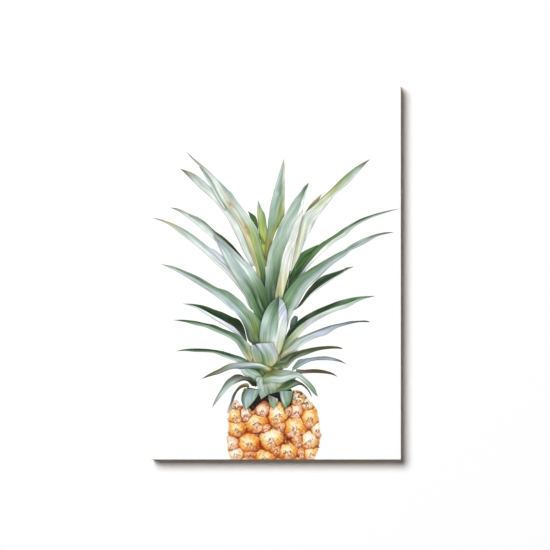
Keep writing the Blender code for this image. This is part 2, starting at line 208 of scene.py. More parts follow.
def leaf_colour(blade, points, along, across, width, number):
    """The printed colour of points on one leaf, in sRGB."""
    marks, tones = blade["marks"], blade["tones"]
    rows = np.stack([[np.interp(along, marks, tones[:, tone, part]) for part in range(3)]
                     for tone in range(4)])
    fold = np.interp(along, (0, 0.5, 1), blade["fold"])
    low = np.clip(across / np.maximum(fold, 1e-6), 0, 1)
    high = np.clip((across - fold) / np.maximum(1 - fold, 1e-6), 0, 1)
    under = mix(rows[0].T, rows[1].T, low)
    upper = mix(rows[2].T, rows[3].T, high)
    from_fold = (across - fold) * width
    colour = mix(under, upper, np.clip(from_fold / 0.5 + 0.5, 0, 1) * (fold < UNFOLDED))
    # fine lines along the leaf, and slow patches of lighter and darker wax
    fibre = np.stack([along * blade["length"] / 60, across * width / 1.6], axis=1) + number * 7.3
    streak = np.stack([along * blade["length"] / 30, across * width / 3.4], axis=1) + number * 3.1
    light = 0.96 + 0.08 * noise(fibre, 1, 1) + 0.09 * noise(streak, 1, 2) + 0.03 * noise(points, 9, 3)
    colour = colour * light[:, None]
    wax = np.clip(noise(streak + 40, 1, 4) - 0.1, 0, 1) + 0.4 * np.clip(noise(fibre + 60, 1, 6), 0, 1)
    colour = mix(colour, srgb(WAX), WAX_STRENGTH * wax)
    for mark, place, long, wide, tone in blade["spots"]:
        reach = ((along - mark) * blade["length"] / long) ** 2 + ((across - place) * width / wide) ** 2
        rough = 0.75 + 0.5 * noise(points, 2.5, 5)
        colour = mix(colour, srgb(TONES[tone]), 0.75 * np.exp(-reach) * np.clip(rough, 0, 1))
    # a thin darker outline, and a dark crease where the leaf folds
    edge = np.minimum(across, 1 - across) * width
    inked = np.minimum(colour, srgb(INK_LINE))
    colour = mix(colour, inked, blade["line"] * np.exp(-(edge / 0.45) ** 2))
    crease = np.exp(-((from_fold - 0.3) / 0.6) ** 2) * (fold < UNFOLDED) * (1 - along)
    return colour * (1 - FOLD_SHADE * crease)[:, None]


# Every leaf of the crown, the furthest back first: its name, its two edges and the tones along it.
LEAVES = (
    leaf("heart_shade",
         ((-22, -11.5), (-20.5, -37), (-23, -59.5), (-31.5, -75), (-30, -90), (-37, -110), (-39, -123),
          (-31.5, -143)),
         ((26.5, 3.5), (24.5, -11.5), (16.5, -32), (9.5, -49.5), (16.5, -67), (16.5, -90), (13.5, -112.5),
          (3.5, -143)),
         ((0, "olive moss deep night"), (0.25, "moss night night deep"), (0.5, "deep night deep sage"),
          (0.75, "moss deep moss olive"), (1, "straw olive olive straw"))),
    leaf("heart_low",
         ((-50.5, -123), (-48, -135.5), (-40.5, -146), (-22, -158), (-1.5, -163)),
         ((-22, -107.5), (1, -120.5), (21, -123), (18.5, -145.5), (3.5, -163)),
         ((0, "straw olive"), (0.5, "straw leaf"), (1, "moss olive"))),
    leaf("yellow_back",
         ((-17.5, 11.5), (-23, 38), (-27.5, 67.5), (-29.5, 86), (-30.5, 98), (-28.5, 115.5)),
         ((-11, 11.5), (-10.5, 38), (-11.5, 57), (-15, 75.5), (-17.5, 91.5), (-23, 102), (-28.5, 115.5)),
         ((0, "olive moss"), (0.35, "lime lime"), (0.7, "lime leaf"), (1, "mint sage"))),
    leaf("dark_back",
         ((-23, 46), (-31, 65), (-37.5, 78), (-41.5, 87.5), (-45, 98)),
         ((-17.5, 46), (-27, 62), (-29, 78), (-32.5, 89), (-39, 94), (-45, 98)),
         ((0, "olive olive"), (0.4, "olive deep"), (1, "moss green"))),
    leaf("thin_back",
         ((42.5, 87.5), (53, 105.5), (65, 118.5), (74, 126)),
         ((46, 87.5), (57, 101.5), (67.5, 113.5), (74, 126)),
         ((0, "brown olive"), (1, "straw tan"))),
    leaf("second_left",
         ((-39, 9), (-52.5, 33), (-60.5, 51.5), (-68.5, 67.5), (-76.5, 83.5), (-87, 99.5), (-103, 118),
          (-121.5, 134), (-137.5, 150), (-153.5, 166)),
         ((-9.5, 9), (-25.5, 33), (-44.5, 65), (-64.5, 91.5), (-84.5, 117), (-104.5, 135.5), (-128.5, 156),
          (-153.5, 166)),
         ((0, "mint straw"), (0.3, "white mint"), (0.6, "white mint"), (0.85, "mint frost"),
          (1, "brown tan")), line=0.8),
    leaf("left_rim",
         ((-81.5, 99.5), (-93.5, 117), (-104.5, 137), (-115, 155.5), (-123.5, 169.5)),
         ((-80.5, 102), (-89, 120.5), (-102.5, 145), (-117, 164.5), (-123.5, 169.5)),
         ((0, "white mint"), (1, "mint frost")), line=0.5),
    leaf("tall_left",
         ((-28.5, -15), (-31, -2), (-35, 14), (-40.5, 31.5), (-47, 49), (-53.5, 65), (-60.5, 78), (-71, 93),
          (-84.5, 111.5), (-93.5, 127.5), (-103, 145), (-119, 166), (-132.5, 179.5), (-144.5, 193)),
         ((-16.5, -22), (-16.5, -2), (-17.5, 18), (-23, 38), (-28.5, 65), (-32.5, 74), (-39, 83.5),
          (-47, 94), (-56.5, 106), (-64.5, 117), (-72.5, 129), (-76.5, 131.5), (-103, 158), (-121.5, 174),
          (-144.5, 193)),
         ((0, "straw olive moss deep"), (0.15, "straw olive leaf olive"), (0.3, "straw straw lime sage"),
          (0.45, "mint straw mint mint"), (0.6, "mint mint white sage"), (0.8, "frost mint white frost"),
          (0.93, "sage straw straw sage"), (1, "tan brown brown brown")), fold=(0.4, 0.35, 0.3),
         spots=((0.36, 0.3, 9, 3, "rust"), (0.55, 0.38, 7, 3, "rust"), (0.25, 0.35, 12, 2.5, "straw"),
                (0.63, 0.45, 12, 2.5, "straw"))),
    leaf("tall_middle",
         ((-17.5, 25), (-15, 57), (-13.5, 69), (-12.5, 82), (-11, 93), (-9.5, 105), (-5.5, 121),
          (-1.5, 131.5), (-5.5, 123.5), (1, 145), (7.5, 166), (12.5, 182)),
         ((-12.5, 25), (-1.5, 62), (9, 81), (13.5, 93), (14, 111.5), (14.5, 131.5), (14, 145), (14, 166),
          (12.5, 182)),
         ((0, "olive rust olive olive"), (0.3, "sage leaf olive olive"), (0.6, "frost sage olive mint"),
          (0.85, "frost sage mint white"), (1, "mint tan tan mint")), fold=(0.6, 0.62, 0.7)),
    leaf("shoulder_right",
         ((22.5, -12.5), (30.5, 17), (39.5, 30), (53, 38), (69, 45)),
         ((27.5, -12.5), (35.5, 7.5), (47.5, 21), (59.5, 33), (69, 45)),
         ((0, "moss deep"), (0.5, "moss green"), (1, "leaf moss"))),
    leaf("upper_right",
         ((13, -37.5), (22, -26.5), (30.5, -16.5), (43.5, -3), (53, 9), (65, 22), (79.5, 35.5), (95.5, 49),
          (110.5, 58), (126.5, 73), (150.5, 86), (171.5, 93.5), (198.5, 102)),
         ((11.5, -37), (13.5, -28), (15.5, -19), (22.5, -10), (30.5, 3.5), (43.5, 18), (55.5, 30), (69, 44),
          (82.5, 53), (97, 62), (110.5, 71.5), (137, 86), (171.5, 97), (198.5, 102)),
         ((0, "deep night night deep"), (0.25, "white mint night green"), (0.5, "white white green moss"),
          (0.75, "mint sage moss moss"), (1, "mint sage sage mint")), fold=(0.12, 0.5, 0.55), line=0.5),
    leaf("tall_right",
         ((17, -35), (22.5, -2), (27.5, 25), (33, 51.5), (38.5, 75.5), (42.5, 89), (49, 97), (59.5, 106),
          (73, 119.5), (86.5, 131.5), (105, 150), (121, 163.5), (137, 174), (150.5, 181)),
         ((17, -34), (19.5, -12.5), (30.5, 11.5), (38.5, 27.5), (42.5, 38), (46.5, 49), (53, 62), (59.5, 74),
          (66.5, 87.5), (75.5, 99.5), (85, 111.5), (94.5, 123.5), (103.5, 131.5), (118.5, 145), (137, 166),
          (150.5, 181)),
         ((0, "olive moss"), (0.15, "straw mint"), (0.35, "straw mint"), (0.5, "mint white"),
          (0.7, "olive white"), (0.9, "leaf mint"), (1, "brown brown")), fold=(1, 1, 1), line=0.45),
    leaf("centre_tall",
         ((-16.5, -55), (-17.5, -28.5), (-16.5, -8.5), (-15, 11.5), (-12.5, 30), (-7, 45), (-1.5, 57),
          (3.5, 71.5), (9, 83.5), (15.5, 94), (22.5, 106), (30.5, 118), (38.5, 127.5), (45, 137),
          (53, 143.5)),
         ((7.5, -55), (10.5, -40.5), (15.5, -22), (21, -2), (25, 18), (29, 38), (34.5, 57), (38.5, 75.5),
          (42.5, 90), (44.5, 111.5), (48.5, 129), (53, 143.5)),
         ((0, "moss night olive straw"), (0.15, "sage deep straw straw"), (0.35, "mint leaf white white"),
          (0.6, "sage mint white white"), (0.85, "mint sage white white"), (0.95, "sage moss mint mint"),
          (1, "brown brown tan tan")), fold=(0.55, 0.62, 0.8), line=0.4),
    leaf("upper_left",
         ((-18, -80), (-24, -67), (-28.5, -55), (-35, -35), (-44.5, -15), (-52.5, 1), (-64.5, 14),
          (-77.5, 29), (-89.5, 42), (-95, 48), (-119, 69), (-140.5, 86.5), (-156.5, 97.5), (-169.5, 103.5)),
         ((-15.5, -80), (-13, -62), (-14.5, -46), (-17, -28.5), (-23, -15), (-31, -2), (-40.5, 11.5),
          (-51, 21), (-61.5, 34), (-71, 45), (-84.5, 57), (-97.5, 66), (-119, 85), (-137.5, 93),
          (-156.5, 101.5), (-169.5, 103.5)),
         ((0, "night deep"), (0.12, "deep moss"), (0.22, "leaf leaf"), (0.34, "mint frost"),
          (0.65, "mint mint"), (0.85, "mint mint"), (1, "sage brown")), fold=(1, 1, 1), line=0.45),
    leaf("upper_left_band",
         ((-50.5, 20), (-62.5, 31), (-73.5, 41.5), (-85.5, 53), (-95, 61), (-108.5, 74), (-124.5, 85),
          (-137.5, 91)),
         ((-51, 21), (-61.5, 34), (-71, 45), (-84.5, 57), (-97.5, 66), (-119, 85), (-129.5, 90),
          (-137.5, 93)),
         ((0, "night night"), (0.4, "deep moss"), (0.7, "moss olive"), (0.85, "sage mint"),
          (1, "steel mint"))),
    leaf("wide_left",
         ((-39, -60.5), (-44.5, -52.5), (-49.5, -40.5), (-57.5, -28.5), (-67, -16.5), (-77.5, -4.5),
          (-87, 5), (-97.5, 14), (-111, 27.5), (-132.5, 46), (-153.5, 62), (-175, 78), (-199, 87.5)),
         ((-35, -60.5), (-44.5, -28.5), (-57.5, -4.5), (-71, 11.5), (-85, 25), (-97.5, 35.5), (-108.5, 41),
          (-132.5, 59.5), (-156.5, 74), (-180.5, 83.5), (-199, 87.5)),
         ((0, "sage leaf"), (0.25, "white mint"), (0.5, "mint lilac"), (0.75, "mint sage"),
          (0.93, "straw tan"), (1, "brown brown")), line=0.5),
    leaf("inner_left",
         ((-23, -91), (-29, -77.5), (-37.5, -60.5), (-45.5, -40.5), (-56.5, -23), (-69.5, -2), (-80.5, 17),
          (-88.5, 33), (-94.5, 46), (-96.5, 52), (-99, 58)),
         ((-21.5, -91), (-17.5, -75), (-18, -62), (-22.5, -52.5), (-33.5, -27), (-43, -12.5), (-52.5, 2),
          (-63.5, 17.5), (-77, 35), (-89.5, 48.5), (-96, 54), (-99, 58)),
         ((0, "deep night night deep"), (0.14, "leaf moss deep deep"), (0.32, "sage leaf deep leaf"),
          (0.55, "mint frost frost frost"), (0.8, "mint mint frost sky"), (0.93, "mint sky sky sky"),
          (1, "sky sky steel steel")), fold=(0.55, 0.62, 0.5)),
    leaf("mid_right",
         ((15, -106.5), (18, -90), (22, -75.5), (28, -62.5), (33, -55), (41, -40.5), (49, -27),
          (59.5, -16.5), (70.5, -7), (82.5, 5), (95.5, 15.5), (110.5, 26), (121, 35), (142.5, 45.5),
          (163.5, 57.5), (189, 64)),
         ((8.5, -106.5), (7, -85), (6, -60.5), (13, -36.5), (22.5, -23), (31.5, -12.5), (42.5, -3),
          (55.5, 6), (69, 14), (82.5, 22), (97, 30), (110.5, 37), (123.5, 46), (147.5, 57), (171.5, 63.5),
          (189, 64)),
         ((0, "straw mint sage leaf"), (0.2, "mint sage leaf leaf"), (0.35, "mint sage sage leaf"),
          (0.5, "frost sky sage moss"), (0.8, "mint sky sage sage"), (1, "steel brown brown brown")),
         fold=(0.4, 0.45, 0.5), line=0.4),
    leaf("dark_right",
         ((31, -60.5), (41, -53), (49, -44), (61, -32.5), (74.5, -23), (90.5, -12.5), (106.5, -2),
          (110.5, 1.5), (125.5, 9.5)),
         ((29, -60.5), (34.5, -54), (42.5, -42), (49, -31), (55.5, -23), (63.5, -14), (73, -7), (86.5, -2),
          (99.5, 2), (110.5, 6), (110.5, 7), (125.5, 9.5)),
         ((0, "white mint night deep"), (0.5, "white frost night deep"), (0.8, "mint frost deep moss"),
          (1, "brown brown brown brown")), fold=(0.2, 0.2, 0.3)),
    leaf("low_left",
         ((-38, -115), (-45, -108), (-49.5, -90.5), (-55.5, -77), (-65.5, -64), (-76.5, -55.5), (-97.5, -38),
          (-121.5, -22), (-143, -8.5), (-159, 1), (-184.5, 13)),
         ((-26.5, -115), (-20.5, -100.5), (-22, -89), (-23.5, -81.5), (-32, -68.5), (-44.5, -59),
          (-44.5, -59), (-53.5, -48.5), (-64.5, -39), (-77.5, -30), (-89.5, -26), (-97.5, -23),
          (-121.5, -8.5), (-143, 1), (-164.5, 9.5), (-184.5, 13)),
         ((0, "brown deep deep deep"), (0.12, "deep leaf olive moss"), (0.3, "sky frost sage sage"),
          (0.5, "sky sage sage leaf"), (0.75, "lilac frost leaf sage"), (1, "mint sage sage tan")),
         fold=(0.4, 0.5, 0.5), line=0.4),
    leaf("dark_left",
         ((-46, -113.5), (-55.5, -106.5), (-62.5, -100.5), (-73, -92), (-84.5, -84.5), (-99, -76),
          (-113.5, -67), (-129.5, -57), (-149.5, -50)),
         ((-46.5, -108), (-51, -89), (-58.5, -76.5), (-70, -71.5), (-84.5, -64.5), (-99, -59.5),
          (-113.5, -54), (-129.5, -51), (-149.5, -50)),
         ((0, "mint lilac night night"), (0.5, "lilac mint night deep"), (0.85, "lilac frost deep moss"),
          (1, "steel steel steel steel")), fold=(0.3, 0.35, 0.4)),
    leaf("wide_low_left",
         ((-41, -145.5), (-51, -134), (-57, -124), (-64, -113.5), (-73, -106.5), (-84.5, -100.5),
          (-99, -94.5), (-113.5, -88), (-129.5, -84.5), (-145.5, -80), (-165.5, -76.5)),
         ((-36.5, -137), (-41, -118), (-48, -110.5), (-58.5, -102), (-70, -96), (-84.5, -90.5), (-99, -84.5),
          (-113.5, -81.5), (-129.5, -78), (-148.5, -76), (-165.5, -76.5)),
         ((0, "straw tan straw straw"), (0.2, "sage sage leaf sage"), (0.5, "sage sage leaf deep"),
          (0.8, "sage leaf moss deep"), (1, "sage deep deep sage")), fold=(0.45, 0.5, 0.5)),
    leaf("slim_low_left",
         ((-44, -149), (-58.5, -145.5), (-70, -141), (-84.5, -135.5), (-99, -129.5), (-113.5, -128),
          (-129.5, -127.5), (-145.5, -126), (-161.5, -126.5)),
         ((-42, -145.5), (-45, -141), (-55.5, -135.5), (-70, -131), (-84.5, -126.5), (-99, -124),
          (-113.5, -122.5), (-129.5, -122), (-145.5, -123), (-161.5, -126.5)),
         ((0, "straw frost sage moss"), (0.15, "mint frost sage deep"), (0.3, "mint sage deep deep"),
          (0.7, "sage deep deep deep"), (1, "deep sage sage deep")), fold=(0.5, 0.5, 0.5)),
    leaf("slate_tip",
         ((21.5, -94.5), (23, -80), (26, -73), (29.5, -69.5)),
         ((32, -92), (34, -80), (35, -71.5), (29.5, -69.5)),
         ((0, "deep steel"), (1, "steel deep"))),
    leaf("front",
         ((-26, -115), (-26.5, -102.5), (-25, -87.5), (-22, -75), (-17.5, -62.5), (-11.5, -52.5), (-4, -45),
          (4.5, -39.5)),
         ((3, -135), (9, -123.5), (13.5, -110), (16.5, -95), (18, -80), (17.5, -66), (15.5, -54.5),
          (11, -45), (4.5, -39.5)),
         ((0, "leaf straw cream straw"), (0.2, "sage mint mint straw"), (0.45, "frost sage white mint"),
          (0.7, "sage leaf lilac lilac"), (0.9, "sage deep sky frost"), (1, "deep deep steel sage")),
         fold=(0.74, 0.64, 0.5), line=0.35),
    leaf("low_right_1",
         ((8.5, -134.5), (13, -126), (21.5, -117), (32, -107.5), (40.5, -97), (52, -86.5), (67, -76.5),
          (81.5, -69), (96, -62.5), (113.5, -57), (137, -44.5), (159.5, -38)),
         ((10, -122.5), (13, -110), (19, -95), (26, -85), (39, -75), (52, -66.5), (67, -59), (81.5, -53),
          (97, -47), (115.5, -42), (137, -38.5), (159.5, -38)),
         ((0, "olive leaf olive moss"), (0.15, "straw leaf night night"), (0.4, "lilac mint deep deep"),
          (0.7, "white mint moss deep"), (0.9, "frost sage moss leaf"), (1, "brown brown brown brown")),
         fold=(0.65, 0.5, 0.4)),
    leaf("low_right_2",
         ((8.5, -140.5), (11, -137), (21.5, -134), (32, -128), (40.5, -118.5), (53.5, -110), (68, -104),
          (80, -100.5), (97.5, -89.5), (118.5, -83), (134.5, -80), (151, -80)),
         ((7, -134), (13, -124), (21.5, -115), (32, -106.5), (46.5, -100.5), (61, -94.5), (75.5, -89),
          (90, -84.5), (104.5, -81.5), (118.5, -78.5), (134.5, -77.5), (145, -77.5), (151, -80)),
         ((0, "tan straw straw olive"), (0.2, "mint frost sage sage"), (0.5, "sky lilac sky moss"),
          (0.8, "steel steel steel deep"), (1, "deep deep deep deep")), fold=(0.75, 0.75, 0.7)),
    leaf("fold_left",
         ((-26.5, -154.5), (-34.5, -142.5), (-38, -131), (-39.5, -122.5), (-39.5, -115.5)),
         ((-13, -154.5), (-19, -145.5), (-20.5, -135.5), (-26.5, -125), (-32.5, -118)),
         ((0, "straw leaf"), (0.4, "straw leaf"), (0.75, "frost sage"), (1, "lilac frost"))),
    leaf("fold_right",
         ((-17.5, -153), (-20.5, -140), (-22, -132), (-28.5, -121.5), (-33, -114.5)),
         ((-6, -151.5), (1.5, -142.5), (3, -132), (-1.5, -122.5), (-5.5, -113)),
         ((0, "olive straw"), (0.3, "leaf straw"), (0.6, "sage lilac"), (1, "lilac mint")), line=0.5),
    leaf("low_right_4",
         ((26, -158), (37, -152), (46.5, -146.5), (61, -141.5), (83, -141), (101.5, -143.5),
          (113.5, -147.5)),
         ((26, -153), (35, -141), (43.5, -138.5), (53.5, -137), (68, -135), (83, -135), (101.5, -140),
          (113.5, -147.5)),
         ((0, "sage leaf"), (0.3, "sky steel"), (0.5, "steel steel"), (0.75, "sky steel"),
          (1, "brown brown")), line=0.5),
    leaf("low_right_3",
         ((-9, -156.5), (3, -155), (17.5, -153.5), (21, -150), (32, -139), (46.5, -133), (68, -125.5),
          (90, -122.5), (107.5, -123)),
         ((-7.5, -153), (1.5, -145), (13, -135.5), (24.5, -129.5), (39, -125), (53.5, -121.5), (69.5, -119),
          (87, -118), (101.5, -119.5), (107.5, -123)),
         ((0, "olive leaf olive moss"), (0.25, "sage brown deep deep"), (0.5, "leaf deep brown deep"),
          (0.8, "leaf deep brown deep"), (1, "brown brown brown brown")), fold=(0.6, 0.45, 0.4)),
    leaf("low_right_5",
         ((32, -164), (46.5, -162), (68, -161.5), (87, -163.5), (99, -167.5)),
         ((32, -154.5), (43.5, -156), (61, -155), (75.5, -156.5), (90, -161), (99, -167.5)),
         ((0, "sage brown"), (0.4, "brown brown"), (1, "deep brown"))),
    leaf("heart_foot",
         ((-55, -152), (-47.5, -171), (-38, -182.5)),
         ((7.5, -152), (7.5, -167), (0, -182.5)),
         ((0, "deep moss olive"), (0.5, "deep olive olive"), (1, "night deep moss"))),
    leaf("arch_left",
         ((-12, -164), (-19, -158), (-26.5, -154.5), (-38, -154), (-52.5, -156), (-64, -154.5),
          (-76, -156.5), (-90.5, -162.5), (-105, -166.5), (-120, -171)),
         ((-6, -154.5), (-12, -151.5), (-23.5, -147), (-32, -145.5), (-52.5, -144), (-70, -145.5),
          (-80, -148.5), (-90.5, -154.5), (-105, -161.5), (-120, -171)),
         ((0, "olive olive straw olive"), (0.2, "steel steel frost mint"), (0.5, "steel lilac lilac sage"),
          (0.75, "brown steel olive brown"), (1, "deep brown brown deep")), fold=(0.4, 0.35, 0.4)),
    leaf("under_arch_left",
         ((-20.5, -178.5), (-41, -171), (-51, -165), (-57.5, -155)),
         ((-12, -169), (-20.5, -167.5), (-28, -160), (-41, -154.5), (-57.5, -155)),
         ((0, "olive moss"), (0.4, "frost sage"), (0.8, "frost sage"), (1, "mint frost"))),
    leaf("heart",
         ((-19, -167), (-31.5, -169.5), (-30, -182.5), (-27.5, -193.5), (-23.5, -203.5)),
         ((33.5, -166), (23, -185), (5, -191), (-12.5, -196), (-23.5, -203.5)),
         ((0, "olive straw straw"), (0.3, "frost frost straw"), (0.6, "frost sage leaf"),
          (0.85, "sage frost sage"), (1, "steel sage steel"))),
    leaf("arch_right",
         ((-20.5, -178.5), (-6, -175.5), (10, -176.5), (32, -169), (40.5, -173.5), (51, -183.5), (59, -193),
          (67, -199.5)),
         ((-20.5, -167.5), (-14.5, -160), (-3, -156), (11.5, -156), (24.5, -157.5), (39, -162), (47, -169),
          (56, -177.5), (63, -187), (67, -199.5)),
         ((0, "moss leaf olive olive"), (0.15, "frost sage olive brown"), (0.35, "mint frost frost sage"),
          (0.6, "white frost sage frost"), (1, "moss moss sage leaf")), fold=(0.55, 0.5, 0.45)),
    leaf("hook_right",
         ((3, -192), (7, -192), (17.5, -190), (26, -185), (39, -180.5), (49.5, -188), (55, -196.5),
          (58.5, -201)),
         ((1.5, -188), (13, -177.5), (24.5, -172), (32, -172.5), (43.5, -178.5), (52.5, -188), (58.5, -201)),
         ((0, "olive moss"), (0.3, "moss deep"), (0.55, "brown night"), (1, "moss deep"))),
    leaf("claw_left",
         ((-32, -184), (-38, -180), (-44, -175.5), (-52.5, -173.5), (-64, -178), (-73, -183.5),
          (-84.5, -195.5), (-94.5, -207), (-102.5, -217.5)),
         ((-30.5, -176), (-41, -168), (-48, -167.5), (-55.5, -164), (-64, -163.5), (-71.5, -167.5),
          (-80, -174.5), (-89, -189), (-97.5, -204), (-102.5, -217.5)),
         ((0, "night night night deep"), (0.25, "night brown brown deep"), (0.45, "frost sage steel brown"),
          (0.7, "frost frost sage leaf"), (1, "brown steel steel brown")), fold=(0.55, 0.6, 0.7)),
    leaf("hook_left",
         ((-42.5, -184), (-54, -185), (-62.5, -192.5), (-68, -205.5), (-73, -215.5), (-76.5, -224)),
         ((-44, -178), (-48, -177.5), (-57, -180.5), (-64, -188), (-70, -198), (-73.5, -211), (-76.5, -224)),
         ((0, "brown olive"), (0.35, "night brown"), (0.7, "night steel"), (1, "brown steel"))),
    leaf("short_left",
         ((-51, -185.5), (-55.5, -198), (-54.5, -209.5), (-48, -220)),
         ((-26.5, -188.5), (-29, -196.5), (-36.5, -207.5), (-48, -220)),
         ((0, "deep moss steel sage"), (0.4, "moss steel sky sage"), (1, "moss sage frost sage")),
         fold=(0.3, 0.3, 0.3)),
    leaf("short_middle",
         ((-12.5, -196), (-12, -204), (-9, -212.5), (-4.5, -218.5)),
         ((3, -202.5), (3, -206.5), (0, -212.5), (-4.5, -218.5)),
         ((0, "brown lilac"), (0.5, "leaf sage"), (1, "moss leaf"))),
    leaf("short_right",
         ((5.5, -190), (7, -199.5), (10, -209.5), (14.5, -218.5)),
         ((26.5, -190.5), (25.5, -201), (21.5, -211), (14.5, -218.5)),
         ((0, "steel sage"), (0.5, "frost leaf"), (1, "leaf moss"))),
)

# The fruit's outline, as far down as the print runs on over the canvas's lower edge.
FRUIT_EDGE = (
    (60, -325), (0, -325.5), (-60, -325), (-66, -314), (-71, -302), (-75.5, -292.5), (-78.5, -281),
    (-78.5, -269.5), (-77, -258), (-77, -249), (-77, -240),
    (-76.5, -229.5), (-74.5, -220.5), (-71, -212.5), (-65.5, -207), (-58.5, -208), (-54, -214), (-45, -212),
    (-24, -206), (-1.5, -205), (21.5, -203.5), (26, -192), (36.5, -188.5), (44.5, -193), (51, -202),
    (60.5, -211.5), (66, -220.5), (68.5, -232), (70, -244.5), (71.5, -258), (70.5, -272), (67, -285.5),
    (63.5, -295), (62, -302), (62, -314))
FRUIT_MIDDLE = np.array([0.0, -258.0])
FRUIT_MARGIN = 1.045  # the fruit's layer reaches past its outline, so that dry tips can stand out from it
# The dark gaps under the short leaves, where the crown sits on the fruit.
GAPS_EDGE = (
    (-46, -184), (-30, -187), (-8, -190), (10, -190), (24, -187), (27, -200), (22, -213), (14, -216),
    (8, -208), (0, -206), (-8, -210), (-20, -206), (-32, -216), (-38, -222), (-46, -212), (-52, -200))

# Each eye of the fruit: its middle, its half width and half height, its tilt in degrees and its palette.
EYES = (
    (-7, -267, 17, 15.5, 0, "cream"), (3, -229, 15.5, 14, -5, "cream"), (-31, -241, 16.5, 14, 15, "gold"),
    (31, -249, 17, 14.5, -10, "gold"), (-43, -274, 15.5, 12.5, 10, "gold"), (19, -287, 16, 11.5, 10, "gold"),
    (53, -270, 13, 13.5, -15, "pale"), (55, -234, 13, 14.5, -10, "gold"), (33, -223, 10, 11, 0, "rose"),
    (-22, -222, 11, 9.5, 0, "rose"), (-63, -251, 12.5, 12, 10, "gold"), (-65, -230, 10, 12.5, 20, "gold"),
    (-48, -228, 10, 9.5, 0, "rose"), (-39, -222, 7, 7, 0, "ember"), (-70, -276, 10, 12, 10, "rose"),
    (-17, -297, 15, 9, 0, "gold"), (-64, -292, 13, 10, 0, "pale"), (56, -291, 13, 10, 0, "gold"),
    (66, -252, 9, 11, 0, "pale"), (-62, -214, 8, 6, 20, "rose"), (35, -205, 10, 8, 0, "cream"),
    (50, -213, 9, 9, -20, "pale"), (35, -270, 9, 10, 0, "ember"), (-16, -250, 7, 8, 0, "ember"),
    (8, -247, 9, 8, 0, "ember"), (-43, -293, 11, 6, 0, "ember"), (0, -285, 9, 8, 0, "ember"),
    (41, -290, 7, 8, 0, "ember"), (20, -222, 8, 7, 0, "ember"), (-46, -309, 15, 12, 0, "gold"),
    (6, -312, 15, 12, 0, "cream"), (38, -311, 14, 12, 0, "gold"), (-20, -320, 13, 9, 0, "gold"))
EYE_SQUARENESS = 2.3  # 2 would make the eyes ellipses
EYE_WARP = 1.3  # how far their edges wander, in mm
SHINE_ACROSS, SHINE_UP = -0.12, 0.22  # where an eye is brightest, as shares of its half size
# Each palette's tones, from an eye's dark foot to its shine, and the light at which each is met.
LIGHT_STEPS = (0, 0.25, 0.5, 0.72, 0.95)
EYE_RAMPS = {
    "cream": ("#B9561F", "#E28F36", "#EFB85C", "#F6DC9E", "#FFF8E2"),
    "gold": ("#B4501A", "#DD7F28", "#ECA03C", "#F4C269", "#FDE9BC"),
    "rose": ("#9E4428", "#CF7B48", "#E5A778", "#F0CBA6", "#FDEEDD"),
    "pale": ("#B36533", "#E09C50", "#EFC47C", "#F6DDB2", "#FFF9EA"),
    "ember": ("#86301A", "#BE561E", "#D97735", "#E89A54", "#F4C68C"),
}
GAP_TONE, GAP_GLOW = srgb("#64230F"), srgb("#B94718")
# Dead leaf ends at the fruit's shoulders: their middle, half width and half height.
DRY_PATCHES = ((36, -198, 15, 9), (-64, -209, 8, 11), (46, -207, 8, 6))
CRUMBS, CRUMB_SEED = 120, 27
# Withered flower ends: how far across and up from an eye's middle, as shares of its size, then their turn in
# degrees, their length and their tone.
WITHERED = ((-0.15, 0.0, 55, 2.6, "dark"), (0.15, 0.02, 125, 2.4, "dark"), (0.0, 0.16, 90, 2.0, "pale"),
            (0.0, -0.22, 80, 2.8, "pale"), (0.24, -0.2, 150, 1.8, "dark"), (-0.26, -0.3, 35, 2.2, "dark"),
            (0.05, -0.5, 100, 2.0, "dark"), (-0.1, 0.3, 70, 1.6, "pale"))


